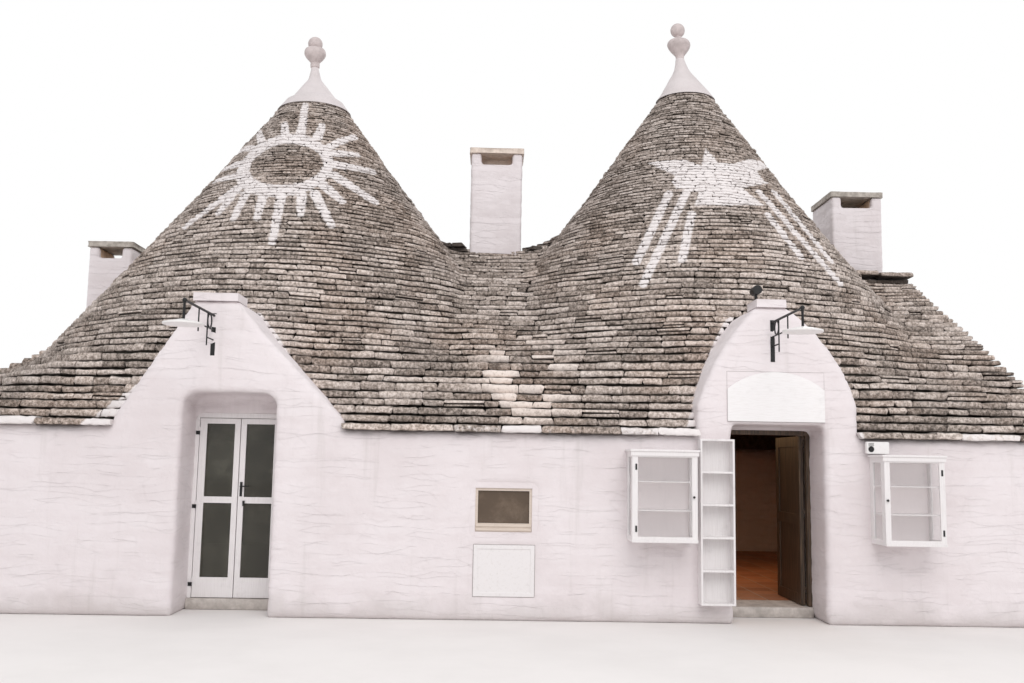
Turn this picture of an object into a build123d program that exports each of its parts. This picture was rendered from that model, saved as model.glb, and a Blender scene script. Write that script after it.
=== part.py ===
from build123d import *
import os

# A whitewashed trullo house of two joined cells. Sizes are in millimetres.
# The working frame has x along the street, y inward from the street face and z up.

# House body
HOUSE_W = 12000
HOUSE_D = 8200
WALL_TOP = 1860
FRONT_WALL_T = 1000
BACK_WALL_T = 1000
PARTY_WALL_T = 850
MIDDLE_WALL_T = 1000
FLOOR_T = 110
ROOM_H = 2300
ARCHWAY_W = 1000
ARCHWAY_H = 1780

# Roof
LEFT_CELL_INWARD = 50
RIGHT_CELL_INWARD = 95
EAVE_T = 90
EAVE_REACH = 120
EAVE_SEAT = 260
LEFT_TOP_R = 420
LEFT_TOP_Z = 6770
LEFT_WAIST_R = 1420
LEFT_WAIST_Z = 5400
RIGHT_TOP_R = 370
RIGHT_TOP_Z = 7030
RIGHT_WAIST_R = 1560
RIGHT_WAIST_Z = 5300
LEFT_SADDLE_RUN = 214
MIDDLE_SADDLE_RUN = 1530
RIGHT_SADDLE_RUN = 1022
SADDLE_INTO_CONE = 40
LEFT_END_SWEEP_R = 150
MIDDLE_SWEEP_LEFT_R = 700
MIDDLE_SWEEP_RIGHT_R = 1200
RIGHT_END_SWEEP_R = 800
DOME_SEAT = 175
DOME_TOP_Z = 5900
DOME_EYE_R = 150
DOME_BELLY_OUT = 0.80
DOME_BELLY_UP = 0.58
DOME_T = 300
DOME_RINGS = 6

# Pinnacles
PLASTER_H = 550
PLASTER_LIP = 55
PLASTER_TOP_R = 90
PLASTER_FLARE = 60
NECK_R = 55
NECK_H = 120
LEFT_CUP_R = 165
LEFT_CUP_H = 200
RIGHT_CUP_R = 180
RIGHT_CUP_H = 300
CUP_BELLY = 40
CUP_LIP_UP = 0.78
CUP_RIM_IN = 0.62
BALL_R = 113
BALL_SINK = 60
TURNED_BANDS = 4
BALL_BANDS = 8
LEFT_LEAN = 20
RIGHT_LEAN = 75
FINIAL_LEAN_SHARE = 0.5

# Gables
LEFT_GABLE_X = -2735
LEFT_GABLE_HALF = 1150
LEFT_GABLE_TOP_HALF = 215
LEFT_GABLE_APEX_X = -190
LEFT_GABLE_SHOULDER_X = 290
LEFT_GABLE_SHOULDER_Z = 2830
LEFT_GABLE_TOP_Z = 3150
LEFT_CAP_W = 480
RIGHT_GABLE_X = 2855
RIGHT_GABLE_HALF = 815
RIGHT_GABLE_SHOULDER_Z = 2180
RIGHT_GABLE_TOP_HALF = 150
RIGHT_GABLE_APEX_X = -55
RIGHT_GABLE_ARC_OUT = 0.70
RIGHT_GABLE_ARC_UP = 0.53
RIGHT_GABLE_TOP_Z = 3200
RIGHT_CAP_W = 330
GABLE_CAP_T = 90
GABLE_CAP_D = 420
GABLE_CAP_LIP = 30

# Doorways
DOORWAY_W = 970
LEFT_RECESS_D = 520
LEFT_RECESS_TOP = 2230
LEFT_RECESS_CORNER_R = 160
LEFT_PASSAGE_TOP = 2030
RIGHT_RECESS_D = 490
RIGHT_RECESS_TOP = 1996
RIGHT_PASSAGE_TOP = 1950
STEP_REACH = 60
DOORWAY_CUT_PAST = 1

# Double door in the left doorway
FRAME_W = 50
FRAME_D = 70
FRAME_STOP_W = 14
FRAME_STOP_D = 20
DOOR_GAP = 6
LEAF_T = 40
STILE_W = 72
MEETING_STILE_W = 58
TOP_RAIL_H = 55
MIDDLE_RAIL_H = 66
BOTTOM_RAIL_H = 205
PANE_T = 8
MEETING_GAP = 8
HINGE_OUT = 11
HINGE_IN = 3
HINGE_Z = (270, 1070, 1840)
KNUCKLE_R = 6
KNUCKLE_H = 40
KNUCKLE_GAP = 0.3
KNUCKLE_CLEAR = 1
PIN_R = 2.5
PIN_FIT = 0.05
PIN_H = 34
HINGE_PLATE_W = 38
HINGE_PLATE_T = 3
HANDLE_Z = 1160
HANDLE_PLATE_H = 150
HANDLE_PLATE_W = 26
HANDLE_PLATE_T = 6
HANDLE_REACH = 34
HANDLE_LEVER_L = 85
HANDLE_LEVER_R = 7
HANDLE_HUB_UP = 105

# Boarded shop door, standing open in the right doorway
SHOP_LEAF_T = 45
SHOP_PANEL_IN = 10
SHOP_STILE_W = 110
SHOP_GAP = 8

# Window and hatch in the middle wall
WINDOW_X = 61
WINDOW_W = 570
WINDOW_H = 435
WINDOW_Z = 868
WINDOW_SET = 15
WINDOW_FRAME_W = 26
WINDOW_FRAME_D = 55
WINDOW_SILL_H = 85
WINDOW_PANE_T = 8
HATCH_X = 73
HATCH_W = 610
HATCH_H = 505
HATCH_Z = 235
HATCH_T = 24
HATCH_PROUD = 8
HATCH_RIM = 40
HATCH_FIELD_IN = 6

# Chimneys
LEFT_CHIMNEY_FROM_END = 360
RIGHT_CHIMNEY_FROM_END = 580
LEFT_CHIMNEY_BACK = 50
MIDDLE_CHIMNEY_X = -65
MIDDLE_CHIMNEY_FORWARD = 80
RIGHT_CHIMNEY_BACK = 400
CHIMNEY_WALL_T = 130
CHIMNEY_CAP_T = 90
CHIMNEY_CAP_LIP = 45
CHIMNEY_SLOT_H = 160
CHIMNEY_FLUE_D = 900

# Lamps on long wall brackets
LEFT_LAMP_X = -2930
LEFT_LAMP_Z = 3000
RIGHT_LAMP_X = 2806
RIGHT_LAMP_Z = 3045
LAMP_REACH = 1000
LAMP_BAR_W = 45
LAMP_BAR_T = 10
LAMP_BAR_H = 410
LAMP_ARM_R = 12
LAMP_KNOB_R = 22
LAMP_ROD_R = 7
LAMP_LOWER_DROP = 150
LAMP_LOWER_REACH = 560
LAMP_RING_T = 12
LAMP_ROD_REACH = 235
LAMP_ROD_DROP = 330
LAMP_LINK_DROP = 250
LAMP_SPEAR_DROP = 230
LAMP_STEM_H = 180
SHADE_R = 187
SHADE_RIM_H = 16
SHADE_CROWN_H = 34
SHADE_CROWN_R = 45

# Small lights and boards
SPOT_X = 2690
SPOT_R = 48
SPOT_L = 150
SPOT_POST_H = 70
SPOT_POST_R = 16
SECURITY_X = 3835
SECURITY_Z = 1712
SECURITY_W = 230
SECURITY_H = 120
SECURITY_D = 45
SECURITY_STANDOFF = 60
SECURITY_CORNER_R = 12
SECURITY_ARM_W = 58
SECURITY_ARM_H = 40
SIGN_X = 2832
SIGN_Z = 2020
SIGN_W = 1000
SIGN_SIDE_H = 330
SIGN_H = 510
SIGN_T = 22

# Display cases and shelf rack
LEFT_CASE_X = 1624
LEFT_CASE_Z = 815
LEFT_CASE_W = 640
LEFT_CASE_H = 877
RIGHT_CASE_X = 4083
RIGHT_CASE_Z = 815
RIGHT_CASE_W = 600
RIGHT_CASE_H = 864
CASE_D = 380
CASE_BOARD_T = 20
CASE_FRAME_W = 55
CASE_SIDE_STILE_W = 90
CASE_CORNICE_LIP = 22
CASE_PANE_T = 5
CASE_SHELVES = 2
RACK_X = 2192
RACK_Z = 195
RACK_W = 345
RACK_H = 1635
RACK_D = 160
RACK_CELLS = 5

AXIS_Y = HOUSE_D / 2
HALF_W = HOUSE_W / 2
ROOF_FOOT = WALL_TOP + EAVE_T
ROOM_W = HALF_W - PARTY_WALL_T - MIDDLE_WALL_T / 2
ROOM_MIDDLE = (HALF_W - PARTY_WALL_T + MIDDLE_WALL_T / 2) / 2
LEFT_CELL_X = LEFT_CELL_INWARD - ROOM_MIDDLE
RIGHT_CELL_X = ROOM_MIDDLE - RIGHT_CELL_INWARD
DOME_R = ROOM_W / 2 - DOME_SEAT

# Each chimney: centre x, front y, width, depth, foot, top of the cap
LEFT_CHIMNEY = (LEFT_CHIMNEY_FROM_END - HALF_W, AXIS_Y + LEFT_CHIMNEY_BACK, 600, 600, 2900, 4650)
MIDDLE_CHIMNEY = (MIDDLE_CHIMNEY_X, AXIS_Y - MIDDLE_CHIMNEY_FORWARD, 730, 560, 4200, 6140)
RIGHT_CHIMNEY = (HALF_W - RIGHT_CHIMNEY_FROM_END, AXIS_Y + RIGHT_CHIMNEY_BACK, 740, 900, 3400, 5740)
ROOM_BACK = HOUSE_D - BACK_WALL_T
ARCHWAY_Y = FRONT_WALL_T + ARCHWAY_W / 2
FACADE_FROM_CENTRE = (HOUSE_D + EAVE_REACH - LAMP_REACH - SHADE_R) / 2


def block(x0, x1, y0, y1, z0, z1):
    """A box between two corners."""
    size = Box(x1 - x0, y1 - y0, z1 - z0, align=(Align.MIN, Align.MIN, Align.MIN))
    return Pos(x0, y0, z0) * size


def street_outline(outline, y0, y1):
    """Extrudes an outline drawn in x and z from y0 inward to y1."""
    plane = Plane(origin=(0, y0, 0), x_dir=(1, 0, 0), z_dir=(0, -1, 0))
    return extrude(plane * outline, amount=-(y1 - y0))


def turned(outline, x, y):
    """Turns an outline of radius and height about the upright axis at x, y."""
    return Pos(x, y, 0) * revolve(Plane.XZ * outline, Axis.Z)


def banded(curve, bands):
    """Points along a curve, one more than the bands, as a mason sets it out in straight runs."""
    return [curve @ (step / bands) for step in range(bands + 1)]


def cone_mass(x, top_r, top_z, waist_r, waist_z):
    """One stone cone, flatter above its waist, as wide at its foot as the house is deep."""
    outline = Polyline(
        (AXIS_Y, WALL_TOP),
        (AXIS_Y, ROOF_FOOT),
        (waist_r, waist_z),
        (top_r, top_z),
        (0, top_z),
        (0, WALL_TOP),
        (AXIS_Y, WALL_TOP),
    )
    return Pos(x, AXIS_Y, 0) * revolve(Plane.YZ * make_face(outline), Axis.Z)


def cone_taper(waist_r, waist_z):
    """How much a cone narrows below its waist for each millimetre of height."""
    return (AXIS_Y - waist_r) / (waist_z - ROOF_FOOT)


def cone_radius(waist_r, waist_z, z):
    """The radius of a cone at a height below its waist."""
    return AXIS_Y - (z - ROOF_FOOT) * cone_taper(waist_r, waist_z)


def end_saddle_z(cell_x, run, waist_r, waist_z):
    """The height at which the level crest by a party wall, of a given run, meets its cone."""
    radius = HALF_W - abs(cell_x) + SADDLE_INTO_CONE - run
    return ROOF_FOOT + (AXIS_Y - radius) / cone_taper(waist_r, waist_z)


def saddle_mass(crest, sweeps):
    """
    The roof between two cones, or between a cone and a party wall. It is ruled from the straight
    eaves up to a crest line, whose corners sweep up into the cones.
    """
    x0 = crest[0][0]
    x1 = crest[-1][0]
    top = make_face(Polyline((x0, WALL_TOP), *crest, (x1, WALL_TOP), (x0, WALL_TOP)))
    for x, z, radius in sweeps:
        corner = top.vertices().sort_by_distance((x, z, 0))[0]
        top = fillet(corner, radius)
    stations = sorted({round(v.X, 3) for v in top.vertices()})
    eave = [(x, ROOF_FOOT) for x in stations]
    foot = make_face(Polyline((x0, WALL_TOP), *eave, (x1, WALL_TOP), (x0, WALL_TOP)))
    front = Plane(origin=(0, 0, 0), x_dir=(1, 0, 0), z_dir=(0, -1, 0))
    middle = Plane(origin=(0, AXIS_Y, 0), x_dir=(1, 0, 0), z_dir=(0, -1, 0))
    half = loft([front * foot, middle * top], ruled=True)
    return half + mirror(half, about=Plane.XZ.offset(-AXIS_Y))


def middle_saddle():
    """The saddle between the two cones."""
    radii = RIGHT_CELL_X - LEFT_CELL_X + 2 * SADDLE_INTO_CONE - MIDDLE_SADDLE_RUN
    tapers = cone_taper(LEFT_WAIST_R, LEFT_WAIST_Z) + cone_taper(RIGHT_WAIST_R, RIGHT_WAIST_Z)
    z = ROOF_FOOT + (2 * AXIS_Y - radii) / tapers
    high = min(LEFT_WAIST_Z, RIGHT_WAIST_Z)
    left_x = LEFT_CELL_X + cone_radius(LEFT_WAIST_R, LEFT_WAIST_Z, z) - SADDLE_INTO_CONE
    left_high = LEFT_CELL_X + cone_radius(LEFT_WAIST_R, LEFT_WAIST_Z, high) - SADDLE_INTO_CONE
    right_x = RIGHT_CELL_X - cone_radius(RIGHT_WAIST_R, RIGHT_WAIST_Z, z) + SADDLE_INTO_CONE
    right_high = RIGHT_CELL_X - cone_radius(RIGHT_WAIST_R, RIGHT_WAIST_Z, high) + SADDLE_INTO_CONE
    crest = [
        (LEFT_CELL_X, high),
        (left_high, high),
        (left_x, z),
        (right_x, z),
        (right_high, high),
        (RIGHT_CELL_X, high),
    ]
    return saddle_mass(crest, [(left_x, z, MIDDLE_SWEEP_LEFT_R), (right_x, z, MIDDLE_SWEEP_RIGHT_R)])


def left_end_saddle():
    """The low saddle from the left cone to its party wall."""
    z = end_saddle_z(LEFT_CELL_X, LEFT_SADDLE_RUN, LEFT_WAIST_R, LEFT_WAIST_Z)
    high = LEFT_WAIST_Z
    near = LEFT_CELL_X - cone_radius(LEFT_WAIST_R, LEFT_WAIST_Z, z) + SADDLE_INTO_CONE
    top = LEFT_CELL_X - cone_radius(LEFT_WAIST_R, LEFT_WAIST_Z, high) + SADDLE_INTO_CONE
    crest = [(-HALF_W, z), (near, z), (top, high), (LEFT_CELL_X, high)]
    return saddle_mass(crest, [(near, z, LEFT_END_SWEEP_R)])


def right_end_saddle():
    """The saddle from the right cone to its party wall."""
    z = end_saddle_z(RIGHT_CELL_X, RIGHT_SADDLE_RUN, RIGHT_WAIST_R, RIGHT_WAIST_Z)
    high = RIGHT_WAIST_Z
    near = RIGHT_CELL_X + cone_radius(RIGHT_WAIST_R, RIGHT_WAIST_Z, z) - SADDLE_INTO_CONE
    top = RIGHT_CELL_X + cone_radius(RIGHT_WAIST_R, RIGHT_WAIST_Z, high) - SADDLE_INTO_CONE
    crest = [(RIGHT_CELL_X, high), (top, high), (near, z), (HALF_W, z)]
    return saddle_mass(crest, [(near, z, RIGHT_END_SWEEP_R)])


def dome_profile(radius, eye_r, top_z):
    """The half outline of a pointed corbelled dome above the room, closed by a flat capstone."""
    belly = (radius * DOME_BELLY_OUT, ROOM_H + (top_z - ROOM_H) * DOME_BELLY_UP)
    rings = banded(Bezier((radius, ROOM_H), belly, (eye_r, top_z)), DOME_RINGS)
    return make_face(Polyline(*rings, (0, top_z), (0, ROOM_H), (radius, ROOM_H)))


def dome_solid(grow):
    """A dome's volume about the upright axis, grown outward from the inner face."""
    return turned(dome_profile(DOME_R + grow, DOME_EYE_R + grow / 2, DOME_TOP_Z + grow), 0, 0)


def room(side):
    """The open space of one cell, below the dome. Side is -1 on the left and 1 on the right."""
    inner = MIDDLE_WALL_T / 2
    outer = HALF_W - PARTY_WALL_T
    x0, x1 = sorted((side * inner, side * outer))
    return block(x0, x1, FRONT_WALL_T, ROOM_BACK, 0, ROOM_H)


def left_gable_outline():
    """The straight-sided gable over the left doorway, its apex a little to the left."""
    foot = LEFT_GABLE_HALF
    top = LEFT_GABLE_TOP_HALF
    apex = LEFT_GABLE_APEX_X
    points = Polyline(
        (-foot, WALL_TOP),
        (foot, WALL_TOP),
        (foot, ROOF_FOOT),
        (LEFT_GABLE_SHOULDER_X, LEFT_GABLE_SHOULDER_Z),
        (apex + top, LEFT_GABLE_TOP_Z),
        (apex - top, LEFT_GABLE_TOP_Z),
        (-foot, ROOF_FOOT),
        (-foot, WALL_TOP),
    )
    return Pos(LEFT_GABLE_X, 0) * make_face(points)


def right_gable_outline():
    """The round-shouldered gable over the right doorway."""
    foot = RIGHT_GABLE_HALF
    top = RIGHT_GABLE_TOP_HALF
    shoulder = RIGHT_GABLE_SHOULDER_Z
    apex = RIGHT_GABLE_APEX_X
    mid_x = foot * RIGHT_GABLE_ARC_OUT
    mid_z = shoulder + (RIGHT_GABLE_TOP_Z - shoulder) * RIGHT_GABLE_ARC_UP
    right = ThreePointArc((foot, shoulder), (mid_x, mid_z), (apex + top, RIGHT_GABLE_TOP_Z))
    left = ThreePointArc((-foot, shoulder), (-mid_x, mid_z), (apex - top, RIGHT_GABLE_TOP_Z))
    foot_line = Polyline((-foot, shoulder), (-foot, WALL_TOP), (foot, WALL_TOP), (foot, shoulder))
    top_line = Line((apex + top, RIGHT_GABLE_TOP_Z), (apex - top, RIGHT_GABLE_TOP_Z))
    return Pos(RIGHT_GABLE_X, 0) * make_face(right + left + foot_line + top_line)


def left_doorway():
    """The void of the left doorway: a deep recess with round upper corners, then the passage."""
    half = DOORWAY_W / 2
    recess = Pos(LEFT_GABLE_X, LEFT_RECESS_TOP / 2) * Rectangle(DOORWAY_W, LEFT_RECESS_TOP)
    upper = recess.vertices().sort_by(Axis.Y)[-2:]
    recess = fillet(upper, LEFT_RECESS_CORNER_R)
    front = street_outline(recess, -DOORWAY_CUT_PAST, LEFT_RECESS_D)
    passage = block(
        LEFT_GABLE_X - half,
        LEFT_GABLE_X + half,
        -DOORWAY_CUT_PAST,
        FRONT_WALL_T + DOORWAY_CUT_PAST,
        0,
        LEFT_PASSAGE_TOP,
    )
    return front + passage


def right_doorway():
    """The void of the right doorway, a little lower behind its door frame."""
    half = DOORWAY_W / 2
    x0 = RIGHT_GABLE_X - half
    x1 = RIGHT_GABLE_X + half
    y0 = -DOORWAY_CUT_PAST
    y1 = FRONT_WALL_T + DOORWAY_CUT_PAST
    front = block(x0, x1, y0, RIGHT_RECESS_D, 0, RIGHT_RECESS_TOP)
    return front + block(x0, x1, y0, y1, 0, RIGHT_PASSAGE_TOP)


def roof_halves():
    """The stone roof mass of each cell, hollowed for its dome and room."""
    body = left_end_saddle() + middle_saddle() + right_end_saddle()
    body += cone_mass(LEFT_CELL_X, LEFT_TOP_R, LEFT_TOP_Z, LEFT_WAIST_R, LEFT_WAIST_Z)
    body += cone_mass(RIGHT_CELL_X, RIGHT_TOP_R, RIGHT_TOP_Z, RIGHT_WAIST_R, RIGHT_WAIST_Z)
    top = max(LEFT_TOP_Z, RIGHT_TOP_Z)
    cuts = [left_gable_solid(), right_gable_solid(), left_doorway(), right_doorway()]
    cuts += [chimney_block(c) for c in (LEFT_CHIMNEY, MIDDLE_CHIMNEY, RIGHT_CHIMNEY)]
    cuts += list(eave_slabs().values())
    roofs = {}
    for name, side, axis_x in (("left", -1, LEFT_CELL_X), ("right", 1, RIGHT_CELL_X)):
        x0, x1 = sorted((0, side * HALF_W))
        part = body & block(x0, x1, 0, HOUSE_D, WALL_TOP, top)
        part -= room(side)
        part -= Pos(axis_x, AXIS_Y, 0) * dome_solid(DOME_T)
        for cut in cuts:
            part -= cut
        roofs[name + "_cone_roof"] = part
    return roofs


def left_gable_solid():
    return street_outline(left_gable_outline(), 0, FRONT_WALL_T)


def right_gable_solid():
    return street_outline(right_gable_outline(), 0, FRONT_WALL_T)


def eave_slabs():
    """The overhanging lowest course, broken by the two gables on the street side."""
    left_edges = (LEFT_GABLE_X - LEFT_GABLE_HALF, LEFT_GABLE_X + LEFT_GABLE_HALF)
    right_edges = (RIGHT_GABLE_X - RIGHT_GABLE_HALF, RIGHT_GABLE_X + RIGHT_GABLE_HALF)
    spans = {
        "front_eave_left": (-HALF_W, left_edges[0]),
        "front_eave_middle": (left_edges[1], right_edges[0]),
        "front_eave_right": (right_edges[1], HALF_W),
    }
    slabs = {}
    for name, (x0, x1) in spans.items():
        slabs[name] = block(x0, x1, -EAVE_REACH, EAVE_SEAT, WALL_TOP, ROOF_FOOT)
    y0 = HOUSE_D - EAVE_SEAT
    slabs["back_eave"] = block(-HALF_W, HALF_W, y0, HOUSE_D + EAVE_REACH, WALL_TOP, ROOF_FOOT)
    return slabs


def chimney_block(chimney):
    """The full outline of a chimney stack below its cap."""
    x, y, width, depth, foot, top = chimney
    return block(x - width / 2, x + width / 2, y, y + depth, foot, top - CHIMNEY_CAP_T)


def chimney_nodes(name, chimney):
    """A stack with a flue and a smoke slot on each face, under a stone cap."""
    x, y, width, depth, foot, top = chimney
    under = top - CHIMNEY_CAP_T
    wall = CHIMNEY_WALL_T
    stack = chimney_block(chimney)
    x0 = x - width / 2
    x1 = x + width / 2
    y1 = y + depth
    stack -= block(x0 + wall, x1 - wall, y + wall, y1 - wall, under - CHIMNEY_FLUE_D, under)
    slot_z = under - CHIMNEY_SLOT_H
    stack -= block(x0 + wall, x1 - wall, y, y1, slot_z, under)
    lip = CHIMNEY_CAP_LIP
    cap = block(x0 - lip, x1 + lip, y - lip, y1 + lip, under, top)
    return {name: stack, name + "_cap": cap}


def leaning(outline, x, y, lean):
    """
    A turned shape whose rings, given as radius and height, shift to the left as they rise: by the
    lean at the top of the outline.
    """
    z0 = outline[0][1]
    z1 = outline[-1][1]
    rings = []
    for radius, z in outline:
        shift = lean * (z - z0) / (z1 - z0)
        rings.append(Plane(origin=(x - shift, y, z)) * Circle(radius))
    return loft(rings, ruled=True)


def pinnacle(x, foot_r, foot_z, cup_r, cup_h, lean):
    """The white plaster cone that crowns a roof, with its neck, carved cup and ball, a little askew."""
    seat_z = foot_z + PLASTER_H
    middle = ((foot_r + PLASTER_TOP_R) / 2 - PLASTER_FLARE, foot_z + PLASTER_H / 2 - PLASTER_FLARE / 2)
    flare = banded(ThreePointArc((foot_r, foot_z), middle, (PLASTER_TOP_R, seat_z)), TURNED_BANDS)
    plaster = leaning([(point.X, point.Y) for point in flare], x, AXIS_Y, lean)
    cup_z = seat_z + NECK_H
    lip_z = cup_z + cup_h * CUP_LIP_UP
    belly = ((NECK_R + cup_r) / 2 + CUP_BELLY, (cup_z + lip_z) / 2 - CUP_BELLY)
    bowl = banded(ThreePointArc((NECK_R, cup_z), belly, (cup_r, lip_z)), TURNED_BANDS)
    ball_z = cup_z + cup_h + BALL_R - BALL_SINK
    ball = banded(ThreePointArc((0, ball_z - BALL_R), (BALL_R, ball_z), (0, ball_z + BALL_R)), BALL_BANDS)
    cup_outline = Polyline(
        (0, seat_z),
        (NECK_R, seat_z),
        *bowl,
        (cup_r * CUP_RIM_IN, cup_z + cup_h),
        (0, cup_z + cup_h),
        (0, seat_z),
    )
    cup_x = x - lean
    cup = turned(make_face(cup_outline), cup_x, AXIS_Y)
    ball_x = cup_x - lean * FINIAL_LEAN_SHARE
    return plaster, cup + turned(make_face(Polyline(*ball, (0, ball_z - BALL_R))), ball_x, AXIS_Y)


def wall_nodes():
    """The ground walls, split beside the doorways, with the window and hatch cut in."""
    half = HALF_W
    inner = half - PARTY_WALL_T
    door = DOORWAY_W / 2
    nodes = {
        "front_wall_left": block(-inner, LEFT_GABLE_X - door, 0, FRONT_WALL_T, 0, WALL_TOP),
        "front_wall_middle": block(
            LEFT_GABLE_X + door, RIGHT_GABLE_X - door, 0, FRONT_WALL_T, 0, WALL_TOP
        ),
        "front_wall_right": block(RIGHT_GABLE_X + door, inner, 0, FRONT_WALL_T, 0, WALL_TOP),
        "party_wall_left": block(-half, -inner, 0, HOUSE_D, 0, WALL_TOP),
        "party_wall_right": block(inner, half, 0, HOUSE_D, 0, WALL_TOP),
        "back_wall_left": block(-inner, 0, ROOM_BACK, HOUSE_D, 0, WALL_TOP),
        "back_wall_right": block(0, inner, ROOM_BACK, HOUSE_D, 0, WALL_TOP),
    }
    window = block(
        WINDOW_X - WINDOW_W / 2,
        WINDOW_X + WINDOW_W / 2,
        0,
        FRONT_WALL_T,
        WINDOW_Z,
        WINDOW_Z + WINDOW_H,
    )
    niche = block(
        HATCH_X - HATCH_W / 2,
        HATCH_X + HATCH_W / 2,
        0,
        HATCH_T - HATCH_PROUD,
        HATCH_Z,
        HATCH_Z + HATCH_H,
    )
    nodes["front_wall_middle"] = nodes["front_wall_middle"] - window - niche
    return nodes


def middle_wall():
    """The cross wall that carries both domes, arched beside the street wall so the window has light."""
    half = MIDDLE_WALL_T / 2
    wall = block(-half, half, FRONT_WALL_T, ROOM_BACK, 0, WALL_TOP)
    radius = ARCHWAY_W / 2
    spring = ARCHWAY_H - radius
    arch = Pos(ARCHWAY_Y, spring) * Circle(radius)
    arch += Pos(ARCHWAY_Y, spring / 2) * Rectangle(ARCHWAY_W, spring)
    way = Pos(-half, 0, 0) * extrude(Plane.YZ * arch, amount=MIDDLE_WALL_T)
    return wall - way


def floor_nodes():
    """The paved floor of both cells and the archway, and the step in each doorway."""
    half = MIDDLE_WALL_T / 2
    inner = HALF_W - PARTY_WALL_T
    way = FRONT_WALL_T
    floor = block(-inner, -half, FRONT_WALL_T, ROOM_BACK, 0, FLOOR_T)
    floor += block(half, inner, FRONT_WALL_T, ROOM_BACK, 0, FLOOR_T)
    floor += block(-half, half, way, way + ARCHWAY_W, 0, FLOOR_T)
    door = DOORWAY_W / 2
    nodes = {"floor": floor}
    steps = {
        "left_door_step": (LEFT_GABLE_X, LEFT_RECESS_D),
        "right_door_step": (RIGHT_GABLE_X, RIGHT_RECESS_D),
    }
    for name, (x, recess) in steps.items():
        nodes[name] = block(x - door, x + door, recess - STEP_REACH, FRONT_WALL_T, 0, FLOOR_T)
    return nodes


def door_frame(x, y, top):
    """A frame round a doorway: two jambs and a head, with no stop."""
    half = DOORWAY_W / 2
    outer = block(x - half, x + half, y, y + FRAME_D, FLOOR_T, top)
    clear = block(
        x - half + FRAME_W, x + half - FRAME_W, y, y + FRAME_D, FLOOR_T, top - FRAME_W
    )
    return outer - clear


def knuckle(x, y, z, bored):
    """One barrel of a hinge, bored for the pin or solid with the pin standing on it."""
    base = (Align.CENTER, Align.CENTER, Align.MIN)
    barrel = Cylinder(KNUCKLE_R, KNUCKLE_H, align=base)
    if bored:
        barrel -= Cylinder(PIN_R + PIN_FIT, KNUCKLE_H, align=base)
    else:
        barrel += Pos(0, 0, KNUCKLE_H) * Cylinder(PIN_R, PIN_H, align=base)
    return Pos(x, y, z) * barrel


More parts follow.
